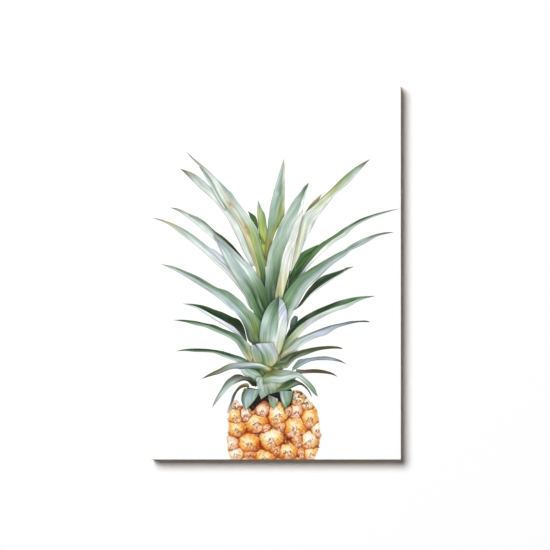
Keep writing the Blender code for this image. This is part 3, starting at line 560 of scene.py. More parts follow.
def fruit_colour(points, specks):
    """The printed colour of points on the fruit, in sRGB."""
    bent = points + np.stack([noise(points, 5, 11), noise(points, 5, 12)], axis=1) * EYE_WARP
    first = np.full(len(points), FAR)
    second = np.full(len(points), FAR)
    which = np.zeros(len(points), int)
    spots = np.zeros((len(points), 2))
    for number, (x, z, wide, tall, tilt, _) in enumerate(EYES):
        turn = math.radians(tilt)
        gone = bent - (x, z)
        spot = np.stack([(gone[:, 0] * math.cos(turn) + gone[:, 1] * math.sin(turn)) / wide,
                         (gone[:, 1] * math.cos(turn) - gone[:, 0] * math.sin(turn)) / tall], axis=1)
        reach = (np.abs(spot) ** EYE_SQUARENESS).sum(axis=1) ** (1 / EYE_SQUARENESS)
        closer = reach < first
        second = np.where(closer, first, np.minimum(second, reach))
        which = np.where(closer, number, which)
        spots = np.where(closer[:, None], spot, spots)
        first = np.minimum(first, reach)
    across, upward = spots[:, 0], spots[:, 1]
    from_shine = np.hypot(across - SHINE_ACROSS, upward - SHINE_UP)
    light = 1.0 - 0.60 * np.clip(from_shine, 0, 1.4) ** 1.6 + 0.10 * upward
    light += 0.10 * noise(points, 3.4, 13) + 0.09 * noise(points, 1.7, 14)
    colour = np.zeros((len(points), 3))
    for number, eye in enumerate(EYES):
        mine = which == number
        ramp = np.array([srgb(code) for code in EYE_RAMPS[eye[5]]])
        for part in range(3):
            colour[mine, part] = np.interp(light[mine], LIGHT_STEPS, ramp[:, part])
    # narrow, dark red clefts between the eyes, here and there closed, and the shine along an eye's upper rim
    gap = np.clip(second - first, 0, 2)
    open_cleft = np.clip(0.55 + 0.9 * noise(points, 7, 17), 0, 1)
    colour = mix(colour, GAP_GLOW, 0.65 * np.exp(-(gap / 0.15) ** 2))
    colour = mix(colour, GAP_TONE, 0.9 * open_cleft * np.exp(-(gap / 0.085) ** 2))
    colour = mix(colour, GAP_TONE, 0.6 * open_cleft * np.clip((first - 0.98) * 4, 0, 1))
    rim_shine = np.exp(-((gap - 0.24) / 0.09) ** 2) * np.clip(upward + 0.1, 0, 1)
    rim_shine = rim_shine * np.clip(noise(points, 6, 18) + 0.6, 0, 1)
    colour = mix(colour, srgb("#FFF3D2"), 0.8 * rim_shine)
    # a dry, pointed bract stands over the lower half of each eye, pale pink with dark edges
    bract_half = np.clip(0.10 - 0.62 * upward, 0, 0.6) * (upward > -1.1)
    from_bract = np.abs(across + 0.08 * noise(points, 6, 19)) - bract_half
    on_bract = np.clip(0.5 - from_bract / 0.12, 0, 1) * np.clip((0.12 - upward) / 0.1, 0, 1)
    strength = np.clip(0.75 + 0.5 * noise(np.stack([which * 3.7, which * 1.3], axis=1), 1, 20), 0.2, 0.95)
    pink = mix(srgb("#DC9A7B"), srgb("#F9E4D4"), np.clip(0.5 + 0.9 * noise(points, 2.4, 15), 0, 1))
    colour = mix(colour, pink, on_bract * strength * np.clip(1.25 - 0.9 * np.abs(upward + 0.35), 0, 1))
    edge_line = np.exp(-(from_bract / 0.07) ** 2) * (upward < 0.1) * (upward > -0.85)
    edge_line = edge_line * np.clip(noise(points, 5, 16) + 0.45, 0, 1)
    colour = mix(colour, srgb("#8C4326"), 0.75 * edge_line)
    # fine dry hairs and pits
    colour = mix(colour, srgb("#FFF8E8"), 0.9 * np.clip(noise(points, 2.6, 23) - 0.3, 0, 1))
    colour = mix(colour, srgb("#A04A1E"), 0.7 * np.clip(noise(points, 2.4, 24) - 0.45, 0, 1))
    for x, z, wide, tall in DRY_PATCHES:
        near = np.clip(1.6 - 1.3 * np.hypot((points[:, 0] - x) / wide, (points[:, 1] - z) / tall), 0, 1)
        crumbs = noise(points, 2.3, 25)
        colour = mix(colour, srgb("#F3E2CF"), near * np.clip(0.55 + crumbs, 0, 0.9))
        colour = mix(colour, srgb("#4A2C1E"), near * np.clip(1.6 * noise(points, 2.6, 26) - 0.1, 0, 0.95))
    for x, z, size, tall, turn, tone in specks:
        near = np.abs(points - (x, z)).max(axis=1) < 2.2 * max(size, tall)
        gone = points[near] - (x, z)
        long = (gone[:, 0] * math.cos(turn) + gone[:, 1] * math.sin(turn)) / tall
        wide = (gone[:, 1] * math.cos(turn) - gone[:, 0] * math.sin(turn)) / size
        colour[near] = mix(colour[near], tone, 0.95 * np.exp(-(long ** 2 + wide ** 2) ** 1.5))
    return colour


def make_specks():
    """The dark withered strokes and pale dry tips in the middle of each eye, and crumbs strewn round them."""
    random = np.random.default_rng(CRUMB_SEED)
    dark, pale = srgb("#33241F"), srgb("#FFF6EA")
    specks = []
    for x, z, wide, tall, _, _ in EYES:
        for across, upward, turn, long, tone in WITHERED:
            if wide < 9 and abs(across) > 0.2:
                continue
            shift = random.normal(0, (0.07, 0.07))
            specks.append((x + (across + shift[0]) * wide, z + (upward + shift[1]) * tall,
                           random.uniform(0.4, 0.7), long * wide / 16 * random.uniform(0.6, 1.3),
                           math.radians(turn + random.normal(0, 18)), dark if tone == "dark" else pale))
    for _ in range(CRUMBS):
        x, z, wide, tall, _, _ = EYES[random.integers(len(EYES))]
        place = random.normal(0, (0.3, 0.3))
        size = random.uniform(0.35, 0.6)
        specks.append((x + place[0] * wide, z + (place[1] - 0.1) * tall, size, size * random.uniform(1, 3),
                       random.uniform(0, math.pi), dark if random.random() < 0.4 else pale))
    return specks


def ragged_edge(points, outline):
    """How far points lie inside the fruit's outline, in mm, with the dry tips that stand out from it."""
    rim = edge_distance(outline, points)
    rim = np.where(inside(outline, points), rim, -rim)
    spikes = np.clip(noise(points, 2.6, 31) - 0.25, 0, 1) * 3.4
    return rim + spikes + 0.7 * noise(points, 4.5, 32) - 0.6


def shade_under(points, colour, shapes, reach, depth):
    """Darkens points close under the shapes that lie over them."""
    if not shapes:
        return colour
    dark = np.ones(len(points))
    for outline in shapes:
        low, high = outline.min(axis=0) - reach, outline.max(axis=0) + reach
        near = np.flatnonzero(((points > low) & (points < high)).all(axis=1))
        if len(near):
            away = edge_distance(outline, points[near])
            dark[near] *= 1 - depth * np.clip(1 - away / reach, 0, 1) ** 1.5
    return colour * dark[:, None]


def picture_layers():
    """The printed things, the furthest back first. The fruit and the dark gaps lie behind the crown's lowest
    leaves, from arch_left on."""
    rim = smooth_loop(FRUIT_EDGE, OUTLINE_STEP)
    fruit = {"name": "fruit", "rim": rim, "outline": FRUIT_MIDDLE + (rim - FRUIT_MIDDLE) * FRUIT_MARGIN}
    gaps = {"name": "gaps", "outline": smooth_loop(GAPS_EDGE, OUTLINE_STEP)}
    under = [blade["name"] for blade in LEAVES].index("arch_left")
    return [*LEAVES[:under], fruit, gaps, *LEAVES[under:]]


def smooth_loop(points, step):
    """A smooth closed outline through the points."""
    points = list(points) + [points[0]]
    return smooth_line(points, int(path_length(points) / step))[:-1]


# ---------------------------------------------------------------- small helpers

def add_node(tree, kind, inputs=(), output=0, stops=(), **settings):
    """Adds one node and returns one of its outputs. inputs are in the order of the sockets, None to leave one
    alone, or a dictionary by socket name. Each is a value or another node's output. stops are for a colour
    ramp."""
    node = tree.nodes.new(kind)
    for name, value in settings.items():
        setattr(node, name, value)
    named = inputs if isinstance(inputs, dict) else dict(enumerate(inputs))
    for name, value in named.items():
        if isinstance(value, bpy.types.NodeSocket):
            tree.links.new(value, node.inputs[name])
        elif value is not None:
            node.inputs[name].default_value = value
    for number, (place, code) in enumerate(stops):
        element = node.color_ramp.elements[number] if number < 2 else node.color_ramp.elements.new(place)
        element.position = place
        element.color = rgba(code)
    return node.outputs[output] if node.outputs else node


def rgba(code):
    """A hex colour as a shader takes it."""
    return (*linear(srgb(code)), 1)


def new_material(name):
    material = bpy.data.materials.new(name)
    material.use_nodes = True
    material.node_tree.nodes.clear()
    return material, material.node_tree


def new_object(name, mesh, material=None):
    piece = bpy.data.objects.new(name, mesh)
    bpy.context.scene.collection.objects.link(piece)
    if material:
        mesh.materials.append(material)
    return piece


# ---------------------------------------------------------------- the canvas

box_low, box_high = (np.array(corner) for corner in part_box("canvas_print"))
middle = (box_low + box_high) / 2
WIDE, DEEP, TALL = (box_high - box_low) / MM
HALF_W, HALF_T = WIDE / 2, TALL / 2
# In millimetres:
CLOTH = 0.5  # thickness of the primed canvas
FLAP = 24.0  # turned over the back of the bars
EDGE_ROUND = 0.9
BEND_CLEAR = 1.5  # no loose point of the mesh this near a bend
TUCK = 12.0  # how far the folded corner's tuck lies in from the corner
TUCK_RISE = 0.45
STEP_RUN = 0.15  # how steeply a fold's edge rises
SLACK_RISE = 0.3  # how far the flap stands off the wood away from the staples
SLACK_REACH = 22.0  # how far a staple holds it down
ROUND_LINES = (-0.9, -0.35, 0.0, 0.35, 0.9)  # distances from a bend at which the cloth's mesh has a line
SIDE_STEP, FLAP_STEP, ALONG_STEP = 1.6, 3.0, 4.0  # between the mesh's points on its outline and its bends
CREASE_ANGLE = math.radians(40)
BAKE_SCALE = 1.43  # the bake map's widths to a metre of cloth, so that the sheet's height just fits it
BAKE_MIDDLE, UNPRINTED_MIDDLE = (0.36, 0.5), (0.86, 0.5)
UNPRINTED_SHARE = 0.38  # the unprinted side's size on the map, as a share of the printed side's
INK_DENSITY = 1.1  # the inks dry a little denser than they are mixed


def unfolded_outline():
    """The sheet laid flat, its four corners cut out where they tuck under, as points every few millimetres.
    The two sides of each cut have the same spacing, because they meet when the sheet is folded."""
    first, second = ROUND_LINES[3:]
    deep = even_steps(0, DEEP, SIDE_STEP, edges=(first, second, DEEP - second, DEEP - first))
    flap = even_steps(0, FLAP, FLAP_STEP, edges=(first, second))
    corner = [(step, 0.0) for step in deep] + [(DEEP + step, step) for step in flap[1:]]
    outline = []
    for turn, (half_a, half_b) in enumerate(((HALF_W, HALF_T), (HALF_T, HALF_W)) * 2):
        # a quarter of the outline, in a frame turned so that this side points along +a
        side = [(half_a + out, half_b - back) for out, back in corner]
        outer = even_steps(half_b - FLAP, FLAP - half_b, ALONG_STEP)[1:-1]
        far = [(half_a + DEEP + FLAP, place) for place in outer]
        other = [(half_a + out, back - half_b) for out, back in reversed(corner)]
        quarter = np.array(side + far + other[:-1])
        outline.append(turned(quarter, turn))
    return np.vstack(outline)


def even_steps(start, end, step, edges=()):
    """Places from start to end, about a step apart, with extra ones at the given places."""
    count = max(1, int(round(abs(end - start) / step)))
    places = np.linspace(start, end, count + 1)
    for edge in edges:
        clear = np.abs(places - edge) > 0.3
        clear[[0, -1]] = True
        places = np.append(places[clear], edge)
    places = np.unique(np.round(places, 6))
    return places if end > start else places[::-1]


def fold_up(points, inner=False):
    """Where points of the flat sheet lie once it is folded round the frame, in millimetres. inner gives the
    unprinted side."""
    over = np.stack([np.abs(points[:, 0]) - HALF_W, np.abs(points[:, 1]) - HALF_T], axis=1)
    past = np.clip(over.max(axis=1), 0, None)
    back = np.clip(past - DEEP, 0, None)
    sideways = over[:, 0] > np.maximum(over[:, 1], 0)
    upright = (over[:, 1] > 0) & ~sideways
    x = np.where(sideways, np.sign(points[:, 0]) * (HALF_W - back), points[:, 0])
    z = np.where(upright, np.sign(points[:, 1]) * (HALF_T - back), points[:, 1])
    sharp = np.stack([x, np.clip(past, 0, DEEP) - DEEP / 2, z], axis=1)
    limit = np.array((HALF_W, DEEP / 2, HALF_T)) - EDGE_ROUND
    core = np.clip(sharp, -limit, limit)
    outward = sharp - core
    outward = outward / np.maximum(np.linalg.norm(outward, axis=1), TINY)[:, None]
    rise = lift_of(points, past, back, upright, inner)
    reach = (EDGE_ROUND - CLOTH if inner else EDGE_ROUND) + rise
    return core + outward * reach[:, None] + middle / MM


def lift_of(points, past, back, upright, inner):
    """How far the cloth stands off its plain folded shape, in slack between staples and in corner tucks."""
    slack = np.zeros(len(points))
    for spot in STAPLE_SPOTS:
        slack = np.maximum(slack, np.exp(-((points - spot) ** 2).sum(axis=1) / SLACK_REACH ** 2))
    from_seam = np.where(upright, HALF_W - np.abs(points[:, 0]), HALF_T - np.abs(points[:, 1])) - back
    slack = SLACK_RISE * (1 - slack) * np.clip(back / FLAP, 0, 1) * np.clip(from_seam / 8, 0, 1)
    if inner:
        return slack
    in_from_seam = np.where(upright, from_seam, -1)
    tuck = TUCK * np.clip(past / DEEP, 0, 1)
    rise = np.clip(in_from_seam / STEP_RUN, 0, 1) * np.clip((tuck - in_from_seam) / STEP_RUN, 0, 1)
    return slack + TUCK_RISE * rise


def staple_spots():
    """The middle of each staple, as a place on the flat sheet in millimetres."""
    spots = []
    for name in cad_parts:
        if name.startswith("staple_"):
            low, high = (np.array(corner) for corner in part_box(name))
            x, _, z = ((low + high) / 2 - middle) / MM
            edge = name.split("_")[1]
            if edge in ("left", "right"):
                x = math.copysign(HALF_W + DEEP + HALF_W - abs(x), x)
            else:
                z = math.copysign(HALF_T + DEEP + HALF_T - abs(z), z)
            spots.append((x, z))
    return np.array(spots)


STAPLE_SPOTS = staple_spots()


class FlatSheet:
    """The flat sheet's points and the lines between them, before it is cut into triangles."""

    def __init__(self):
        self.points = []
        self.lines = []
        self.count = 0

    def add(self, points):
        self.points.append(np.asarray(points, float))
        self.count += len(points)

    def add_line(self, points, closed=False, keep=None):
        """Joins the points with lines. keep says which of the lines are wanted."""
        start = self.count
        self.add(points)
        last = len(points) if closed else len(points) - 1
        for step in range(last):
            if keep is None or keep[step]:
                self.lines.append((start + step, start + (step + 1) % len(points)))

    def triangles(self):
        points = [Vector(point) for point in np.vstack(self.points)]
        found, _, faces, *_ = delaunay_2d_cdt(points, self.lines, [], 1, 1e-4)
        found = np.array([tuple(point) for point in found])
        return found, np.array([face for face in faces if len(face) == 3])


def bend_lines(sheet):
    """Lines along the bends at the front and back edges of the frame."""
    for line in ROUND_LINES:
        for turn, (half_a, half_b) in enumerate(((HALF_W, HALF_T), (HALF_T, HALF_W)) * 2):
            for start in (0, DEEP):
                end = half_b - max(0, start + line - DEEP) + min(0, line if not start else 0)
                along = even_steps(-end, end, ALONG_STEP)
                side = np.stack([np.full(len(along), half_a + start + line), along], axis=1)
                sheet.add_line(turned(side, turn))


def tuck_lines(sheet):
    """Lines along both edges of each corner's tuck."""
    for near in (STEP_RUN, None, -STEP_RUN):
        for flip_x in (-1, 1):
            for flip_z in (-1, 1):
                start = 2.0 if near is None or near < 0 else 0.6
                places = [(past, near if near and near > 0 else TUCK * min(past / DEEP, 1) + (near or 0))
                          for past in (start, DEEP / 2, DEEP, DEEP + FLAP - 0.4)]
                line = [(flip_x * (HALF_W - max(0, past - DEEP) - gap), flip_z * (HALF_T + past))
                        for past, gap in places]
                sheet.add_line(line)


def turned(points, turn):
    """The points after a number of quarter turns round the sheet's middle."""
    cos, sin = QUARTER_TURNS[turn]
    x, z = points[:, 0], points[:, 1]
    return np.stack([x * cos + z * sin, -x * sin + z * cos], axis=1)


def staggered(low, high, step):
    """An even spread of points, every second row set over by half a step."""
    columns = np.arange(low[0], high[0], step)
    rows = np.arange(low[1], high[1], step * 0.87)
    x, z = np.meshgrid(columns, rows)
    x = x + (np.arange(len(rows)) % 2)[:, None] * step / 2
    return np.stack([x.ravel(), z.ravel()], axis=1)


def ground_points(step):
    """An even spread of points over the whole flat sheet, a little in from its edges."""
    reach_x, reach_z = HALF_W + DEEP + FLAP, HALF_T + DEEP + FLAP
    points = staggered((-reach_x, -reach_z), (reach_x, reach_z), step)
    over = np.stack([np.abs(points[:, 0]) - HALF_W, np.abs(points[:, 1]) - HALF_T], axis=1)
    past = over.max(axis=1)
    back = np.clip(past - DEEP, 0, None)
    other = over.min(axis=1)
    far_from_bend = (np.abs(past) > BEND_CLEAR) & (np.abs(past - DEEP) > BEND_CLEAR)
    return points[far_from_bend & (past < DEEP + FLAP - 1) & ((past < 0) | (other < -back - BEND_CLEAR))]


def leaf_points(blade):
    """Points inside a leaf, closer together at its edges and its crease."""
    first = 0.5 * (blade["first"][1:] + blade["first"][:-1])
    second = 0.5 * (blade["second"][1:] + blade["second"][:-1])
    found = []
    for step, (left, right) in enumerate(zip(first, second)):
        width = np.hypot(*(right - left))
        fold = np.interp((step + 0.5) / len(first), (0, 0.5, 1), blade["fold"])
        if width < 0.9:
            continue
        places = [LINE_INSET, width - LINE_INSET] if width > 1.6 else [width / 2]
        if width > 3:
            count = max(2, int(round((width - 2 * INNER_INSET) / INNER_STEP)) + 1)
            places += list(np.linspace(INNER_INSET, width - INNER_INSET, count))
        if fold < UNFOLDED and width > 2.5:
            places = [place for place in places if abs(place - fold * width) > CREASE_CLEAR]
            places += [fold * width - CREASE_INSET, fold * width + CREASE_INSET]
        places = [place for place in places if 0.3 < place < width - 0.3]
        found += [left + (right - left) * place / width for place in places]
    return np.array(found).reshape(-1, 2)


def fruit_points(layer, specks):
    """Points over the fruit, with more of them round each speck."""
    even = staggered(layer["outline"].min(axis=0), layer["outline"].max(axis=0), FRUIT_STEP)
    fine = []
    for x, z, size, tall, turn, _ in specks:
        for long, wide in ((0, 0), (0.9, 0), (-0.9, 0), (0, 1), (0, -1), (0, 2.1), (0, -2.1), (1.6, 0),
                           (-1.6, 0)):
            fine.append((x + long * tall * math.cos(turn) - wide * size * math.sin(turn),
                         z + long * tall * math.sin(turn) + wide * size * math.cos(turn)))
    points = np.vstack([even, np.array(fine)])
    return points[inside(layer["outline"], points)]


def layer_on_top(layers, points):
    """The number of the layer that shows at each point, and -1 on the plain ground."""
    top = np.full(len(points), -1)
    for number, layer in enumerate(layers):
        low, high = layer["outline"].min(axis=0), layer["outline"].max(axis=0)
        near = np.flatnonzero(((points >= low) & (points <= high)).all(axis=1))
        if len(near):
            top[near[inside(layer["outline"], points[near])]] = number
    return top


def printed_sheet(layers, specks):
    """The printed side, cut into flat triangles along every printed outline, and each triangle's layer."""
    sheet = FlatSheet()
    sheet.add_line(unfolded_outline(), closed=True)
    bend_lines(sheet)
    tuck_lines(sheet)
    inner = []
    for number, layer in enumerate(layers):
        outline = layer["outline"]
        top = layer_on_top(layers, outline)
        middles = layer_on_top(layers, 0.5 * (outline + np.roll(outline, -1, axis=0)))
        shows = (top <= number) | (np.roll(top, -1) <= number) | (middles <= number)
        sheet.add_line(outline, closed=True, keep=shows)
        if layer["name"] == "fruit":
            points = fruit_points(layer, specks)
        elif layer["name"] == "gaps":
            points = even_points(layer, GAPS_STEP)
        else:
            points = leaf_points(layer)
        if len(points):
            inner.append(points[layer_on_top(layers, points) == number])
    sheet.add(np.vstack(inner))
    ground = ground_points(GROUND_STEP)
    sheet.add(ground[layer_on_top(layers, ground) < 0])
    points, faces = sheet.triangles()
    return points, faces, layer_on_top(layers, points[faces].mean(axis=1))


def even_points(layer, step):
    """Points in straight rows over a layer."""
    low, high = layer["outline"].min(axis=0), layer["outline"].max(axis=0)
    x, z = np.meshgrid(np.arange(low[0], high[0], step), np.arange(low[1], high[1], step))
    points = np.stack([x.ravel(), z.ravel()], axis=1)
    return points[inside(layer["outline"], points)]


def plain_sheet():
    """The unprinted side, on the same outline."""
    sheet = FlatSheet()
    sheet.add_line(unfolded_outline(), closed=True)
    bend_lines(sheet)
    sheet.add(ground_points(BACK_STEP))
    return sheet.triangles()


def layer_colour(layers, number, points, specks):
    """The printed colour, and where along and across its leaf each point lies, in metres."""
    fibre = np.zeros((len(points), 2))
    if number < 0:
        return np.tile(srgb(TONES["paper"]), (len(points), 1)), fibre
    layer = layers[number]
    if layer["name"] == "fruit":
        drawn = fruit_colour(points, specks)
        within = ragged_edge(points, layer["rim"])
        drawn = mix(drawn, srgb("#F7D9A6"), 0.6 * np.exp(-(within / 1.5) ** 2))
        drawn = mix(drawn, srgb("#8A6A48"), 0.5 * (within < 0.9) * (noise(points, 2.0, 33) > 0.1))
        drawn = mix(drawn, srgb(TONES["paper"]), np.clip(0.5 - within / 0.6, 0, 1))
    elif layer["name"] == "gaps":
        drawn = srgb("#231E16") * (1 + 0.3 * noise(points, 3, 21))[:, None]
        drawn = mix(drawn, srgb("#8C6A45"), np.clip(noise(points, 2.6, 22) * 1.3 - 0.5, 0, 0.7))
    else:
        along, across, width = place_on_leaf(layer, points)
        drawn = leaf_colour(layer, points, along, across, width, number)
        fibre = np.stack([along * layer["length"], across * width + 40 * (number + 1)], axis=1) * MM
    over = [other["outline"] for other in layers[number + 1:]]
    return shade_under(points, drawn, over, SHADE_REACH, SHADE_DEPTH), fibre


def make_canvas(printed, raw):
    """The whole cloth as one closed mesh: the printed side, the unprinted side, and the raw edge between."""
    layers, specks = picture_layers(), make_specks()
    points, faces, tops = printed_sheet(layers, specks)
    colours = np.zeros((len(faces), 3, 3))
    fibres = np.zeros((len(faces), 3, 2))
    for number in range(-1, len(layers)):
        mine = np.flatnonzero(tops == number)
        if len(mine):
            used, place = np.unique(faces[mine].ravel(), return_inverse=True)
            drawn, fibre = layer_colour(layers, number, points[used], specks)
            colours[mine] = drawn[place].reshape(-1, 3, 3)
            fibres[mine] = fibre[place].reshape(-1, 3, 2)
    plain, plain_faces = plain_sheet()
    flat = np.vstack([points, plain])
    solid = np.vstack([fold_up(points), fold_up(plain, inner=True)]) * MM
    faces, plain_faces = facing(points, faces), facing(plain, plain_faces)[:, ::-1] + len(points)
    rim = raw_edge(points, plain, len(points))
    corners = np.vstack([faces, plain_faces, rim])
    cloth = flat[corners] * MM
    ink = np.ones((len(corners), 3, 4))
    ink[:, :, :3] = linear(srgb(TONES["paper"]))
    ink[:len(faces), :, :3] = linear(colours) ** INK_DENSITY
    threads = np.zeros((len(corners), 3, 2))
    threads[:len(faces)] = fibres
    bake = cloth * BAKE_SCALE + BAKE_MIDDLE
    unprinted = slice(len(faces), None)
    bake[unprinted] = cloth[unprinted] * BAKE_SCALE * UNPRINTED_SHARE + UNPRINTED_MIDDLE
    # meet the seams, then drop what that flattened
    _, first, place = np.unique(np.round(solid / 2e-6), axis=0, return_index=True, return_inverse=True)
    place = place.reshape(-1)
    kept = place[corners]
    whole = (kept[:, 0] != kept[:, 1]) & (kept[:, 1] != kept[:, 2]) & (kept[:, 2] != kept[:, 0])
    mesh = bpy.data.meshes.new("printed_canvas")
    mesh.from_pydata(solid[first].tolist(), [], kept[whole].tolist())
    mesh.materials.append(printed)
    mesh.materials.append(raw)
    slots = np.concatenate([np.zeros(len(faces)), np.ones(len(plain_faces) + len(rim))])
    mesh.polygons.foreach_set("material_index", slots[whole].astype(np.int32))
    ink_layer = mesh.color_attributes.new("print", "FLOAT_COLOR", "CORNER")
    ink_layer.data.foreach_set("color", ink[whole].ravel().astype(np.float32))
    for name, values in (("OFBake", bake), ("cloth", cloth), ("fibre", threads)):
        layer = mesh.uv_layers.new(name=name)
        layer.data.foreach_set("uv", values[whole].ravel().astype(np.float32))
    mesh.validate()
    mesh.shade_smooth()
    mesh.set_sharp_from_angle(angle=CREASE_ANGLE)
    return new_object("canvas", mesh)


def facing(points, faces):
    """The triangles, all turned the same way, so that the printed side faces out."""
    one, two, three = (points[faces[:, corner]] for corner in range(3))
    (ax, az), (bx, bz) = (two - one).T, (three - one).T
    return np.where((ax * bz - az * bx > 0)[:, None], faces, faces[:, ::-1])


def raw_edge(points, plain, offset):
    """Triangles across the cloth's cut edge, between its two sides."""
    outline = unfolded_outline()
    cut = np.abs(np.abs(outline) - (HALF_W + DEEP + FLAP, HALF_T + DEEP + FLAP)).min(axis=1) < 1e-6
    rim = []
    for here in np.flatnonzero(cut):
        there = (here + 1) % len(outline)
        if not cut[there] or np.abs(outline[here] - outline[there]).min() > 1e-6:
            continue
        outer = [np.hypot(*(points - outline[end]).T).argmin() for end in (here, there)]
        inner = [np.hypot(*(plain - outline[end]).T).argmin() + offset for end in (here, there)]
        rim += [(outer[0], outer[1], inner[1]), (outer[0], inner[1], inner[0])]
    return np.array(rim)


# ---------------------------------------------------------------- materials

MATH, VECTOR, NOISE = "ShaderNodeMath", "ShaderNodeVectorMath", "ShaderNodeTexNoise"
SURFACE, OUTPUT = "ShaderNodeBsdfPrincipled", "ShaderNodeOutputMaterial"
# How coarse each pattern is, in millimetres:
WEAVE_PITCH = 1.6  # real threads lie 0.5 mm apart, too fine to show, so they are about three times as coarse
FIBRE_PITCH = 1.1  # the leaves' printed fibres, about a millimetre apart
BAND_PITCH = 3.2  # and the broader bands of wax between them
SEED_FLECK = 2.4  # flecks of cotton seed left in the raw cloth, drawn twice as large as life
PINE_RING = 3.4  # slow-grown pine has a ring every 2 mm, drawn wider so that it shows
BEECH_FLECK = 1.2
KNOT_GAP = 110.0
PORE = 0.7
STAPLE_GRAIN = 2.0
HANGER_GRAIN = 4.0
RUBBER_STIPPLE = 0.5
PAINT_STIPPLE = 2.0
FLOOR_GRAIN = 16.0
# And how strongly some of them show:
FIBRE_MEAN = 1.03  # the mean of the sum of the printed fibres and bands
FIBRE_DEPTH = 0.62  # how far that sum shades the ink
GRAIN_STRETCH = 0.07  # wood's patterns are this much finer across the grain than along it
KNOT_BEND = 16.0  # how far a knot turns the rings round it, in radians
PINE_TONES = ((0.0, "#E2C393"), (0.45, "#D8B27B"), (0.8, "#BE8C53"), (1.0, "#7D5430"))
BEECH_TONES = ((0.0, "#D3A67C"), (0.5, "#BF8D60"), (1.0, "#8A5A36"))
ZINC_TONES = ((0.3, "#8E9295"), (0.7, "#C2C5C7"))
BRASS_TONES = ((0.3, "#B0863C"), (0.7, "#D0AA5E"))


def weave_height(tree):
    """The over-and-under of a plain weave, from the sheet's own flat coordinates, with uneven yarn."""
    place = add_node(tree, "ShaderNodeUVMap", uv_map="cloth")
    turns = math.pi / (WEAVE_PITCH * MM)
    yarns, slubs = [], []
    for number, stretch in enumerate(((1, 0.06, 1), (0.06, 1, 1))):
        along = add_node(tree, "ShaderNodeSeparateXYZ", (place,), number)
        phase = add_node(tree, MATH, (along, turns), operation="MULTIPLY")
        yarns.append(add_node(tree, MATH, (phase,), operation="SINE"))
        drawn_out = add_node(tree, VECTOR, (place, stretch), operation="MULTIPLY")
        slubs.append(add_node(tree, NOISE, {"Vector": drawn_out, "Scale": 1 / (WEAVE_PITCH * MM),
                                            "Detail": 1.0}, noise_dimensions="2D"))
    weave = add_node(tree, MATH, yarns, operation="MULTIPLY")
    slub = add_node(tree, MATH, slubs, operation="ADD")
    return add_node(tree, MATH, (slub, 0.9, weave), operation="MULTIPLY_ADD")


def printed_canvas_material():
    """Pigment ink on primed cotton canvas: matt and chalky, the weave just catching the light, with the ink a
    little broken along the leaves' fibres."""
    material, tree = new_material("pigment ink on primed cotton canvas")
    ink = add_node(tree, "ShaderNodeVertexColor", layer_name="print")
    fibre_place = add_node(tree, "ShaderNodeUVMap", uv_map="fibre")
    drawn_out = add_node(tree, VECTOR, (fibre_place, (0.03, 1, 1)), operation="MULTIPLY")
    fibre = add_node(tree, NOISE, {"Vector": drawn_out, "Scale": 1 / (FIBRE_PITCH * MM), "Detail": 2.0},
                     noise_dimensions="2D")
    across = add_node(tree, "ShaderNodeSeparateXYZ", (fibre_place,), "Y")
    on_leaf = add_node(tree, MATH, (across, 0.001), operation="GREATER_THAN")
    band_place = add_node(tree, VECTOR, (fibre_place, (0.05, 1, 1)), operation="MULTIPLY")
    band = add_node(tree, NOISE, {"Vector": band_place, "Scale": 1 / (BAND_PITCH * MM), "Detail": 1.0},
                    noise_dimensions="2D")
    lines = add_node(tree, MATH, (fibre, band), operation="ADD")
    centred = add_node(tree, MATH, (lines, FIBRE_MEAN), operation="SUBTRACT")
    depth = add_node(tree, MATH, (centred, on_leaf), operation="MULTIPLY")
    shade = add_node(tree, MATH, (depth, FIBRE_DEPTH, 1.0), operation="MULTIPLY_ADD")
    colour = add_node(tree, VECTOR, {"Vector": ink, "Scale": shade}, operation="SCALE")
    height = weave_height(tree)
    bump = add_node(tree, "ShaderNodeBump", {"Height": height, "Strength": 0.25, "Distance": 0.00012})
    rough = add_node(tree, MATH, (height, 0.03, 0.78), operation="MULTIPLY_ADD")
    shader = add_node(tree, SURFACE, {"Base Color": colour, "Roughness": rough, "Normal": bump, "IOR": 1.45,
                                      "Specular IOR Level": 0.2})
    add_node(tree, OUTPUT, (shader,))
    return material


def raw_canvas_material():
    """Unbleached cotton: cream with darker seed flecks and an open, woolly weave, with painted shade where
    the weave lies low.
    """
    material, tree = new_material("unbleached cotton canvas back")
    height = weave_height(tree)
    place = add_node(tree, "ShaderNodeUVMap", uv_map="cloth")
    cloud = add_node(tree, NOISE, {"Vector": place, "Scale": 1 / (SEED_FLECK * MM), "Detail": 2.0},
                     noise_dimensions="2D")
    flecks = add_node(tree, MATH, (cloud, 0.70), operation="GREATER_THAN")
    seeds = add_node(tree, MATH, (flecks, 0.6), operation="MULTIPLY")
    # painted shade: the cloth's colour follows the weave's height, darker where the yarn lies low
    share = add_node(tree, MATH, (height, 0.22, 0.45), operation="MULTIPLY_ADD")
    base = add_node(tree, "ShaderNodeValToRGB", (share,),
                    stops=((0.0, "#B3A484"), (0.5, "#D6C9AB"), (1.0, "#E9DFC6")))
    colour = add_node(tree, "ShaderNodeMix", {0: seeds, 6: base, 7: rgba("#8B7752")}, 2, data_type="RGBA")
    bump = add_node(tree, "ShaderNodeBump", {"Height": height, "Strength": 0.7, "Distance": 0.0003})
    shader = add_node(tree, SURFACE, {"Base Color": colour, "Roughness": 0.92, "Normal": bump,
                                      "Specular IOR Level": 0.15, "Sheen Weight": 0.15})
    add_node(tree, OUTPUT, (shader,))
    return material


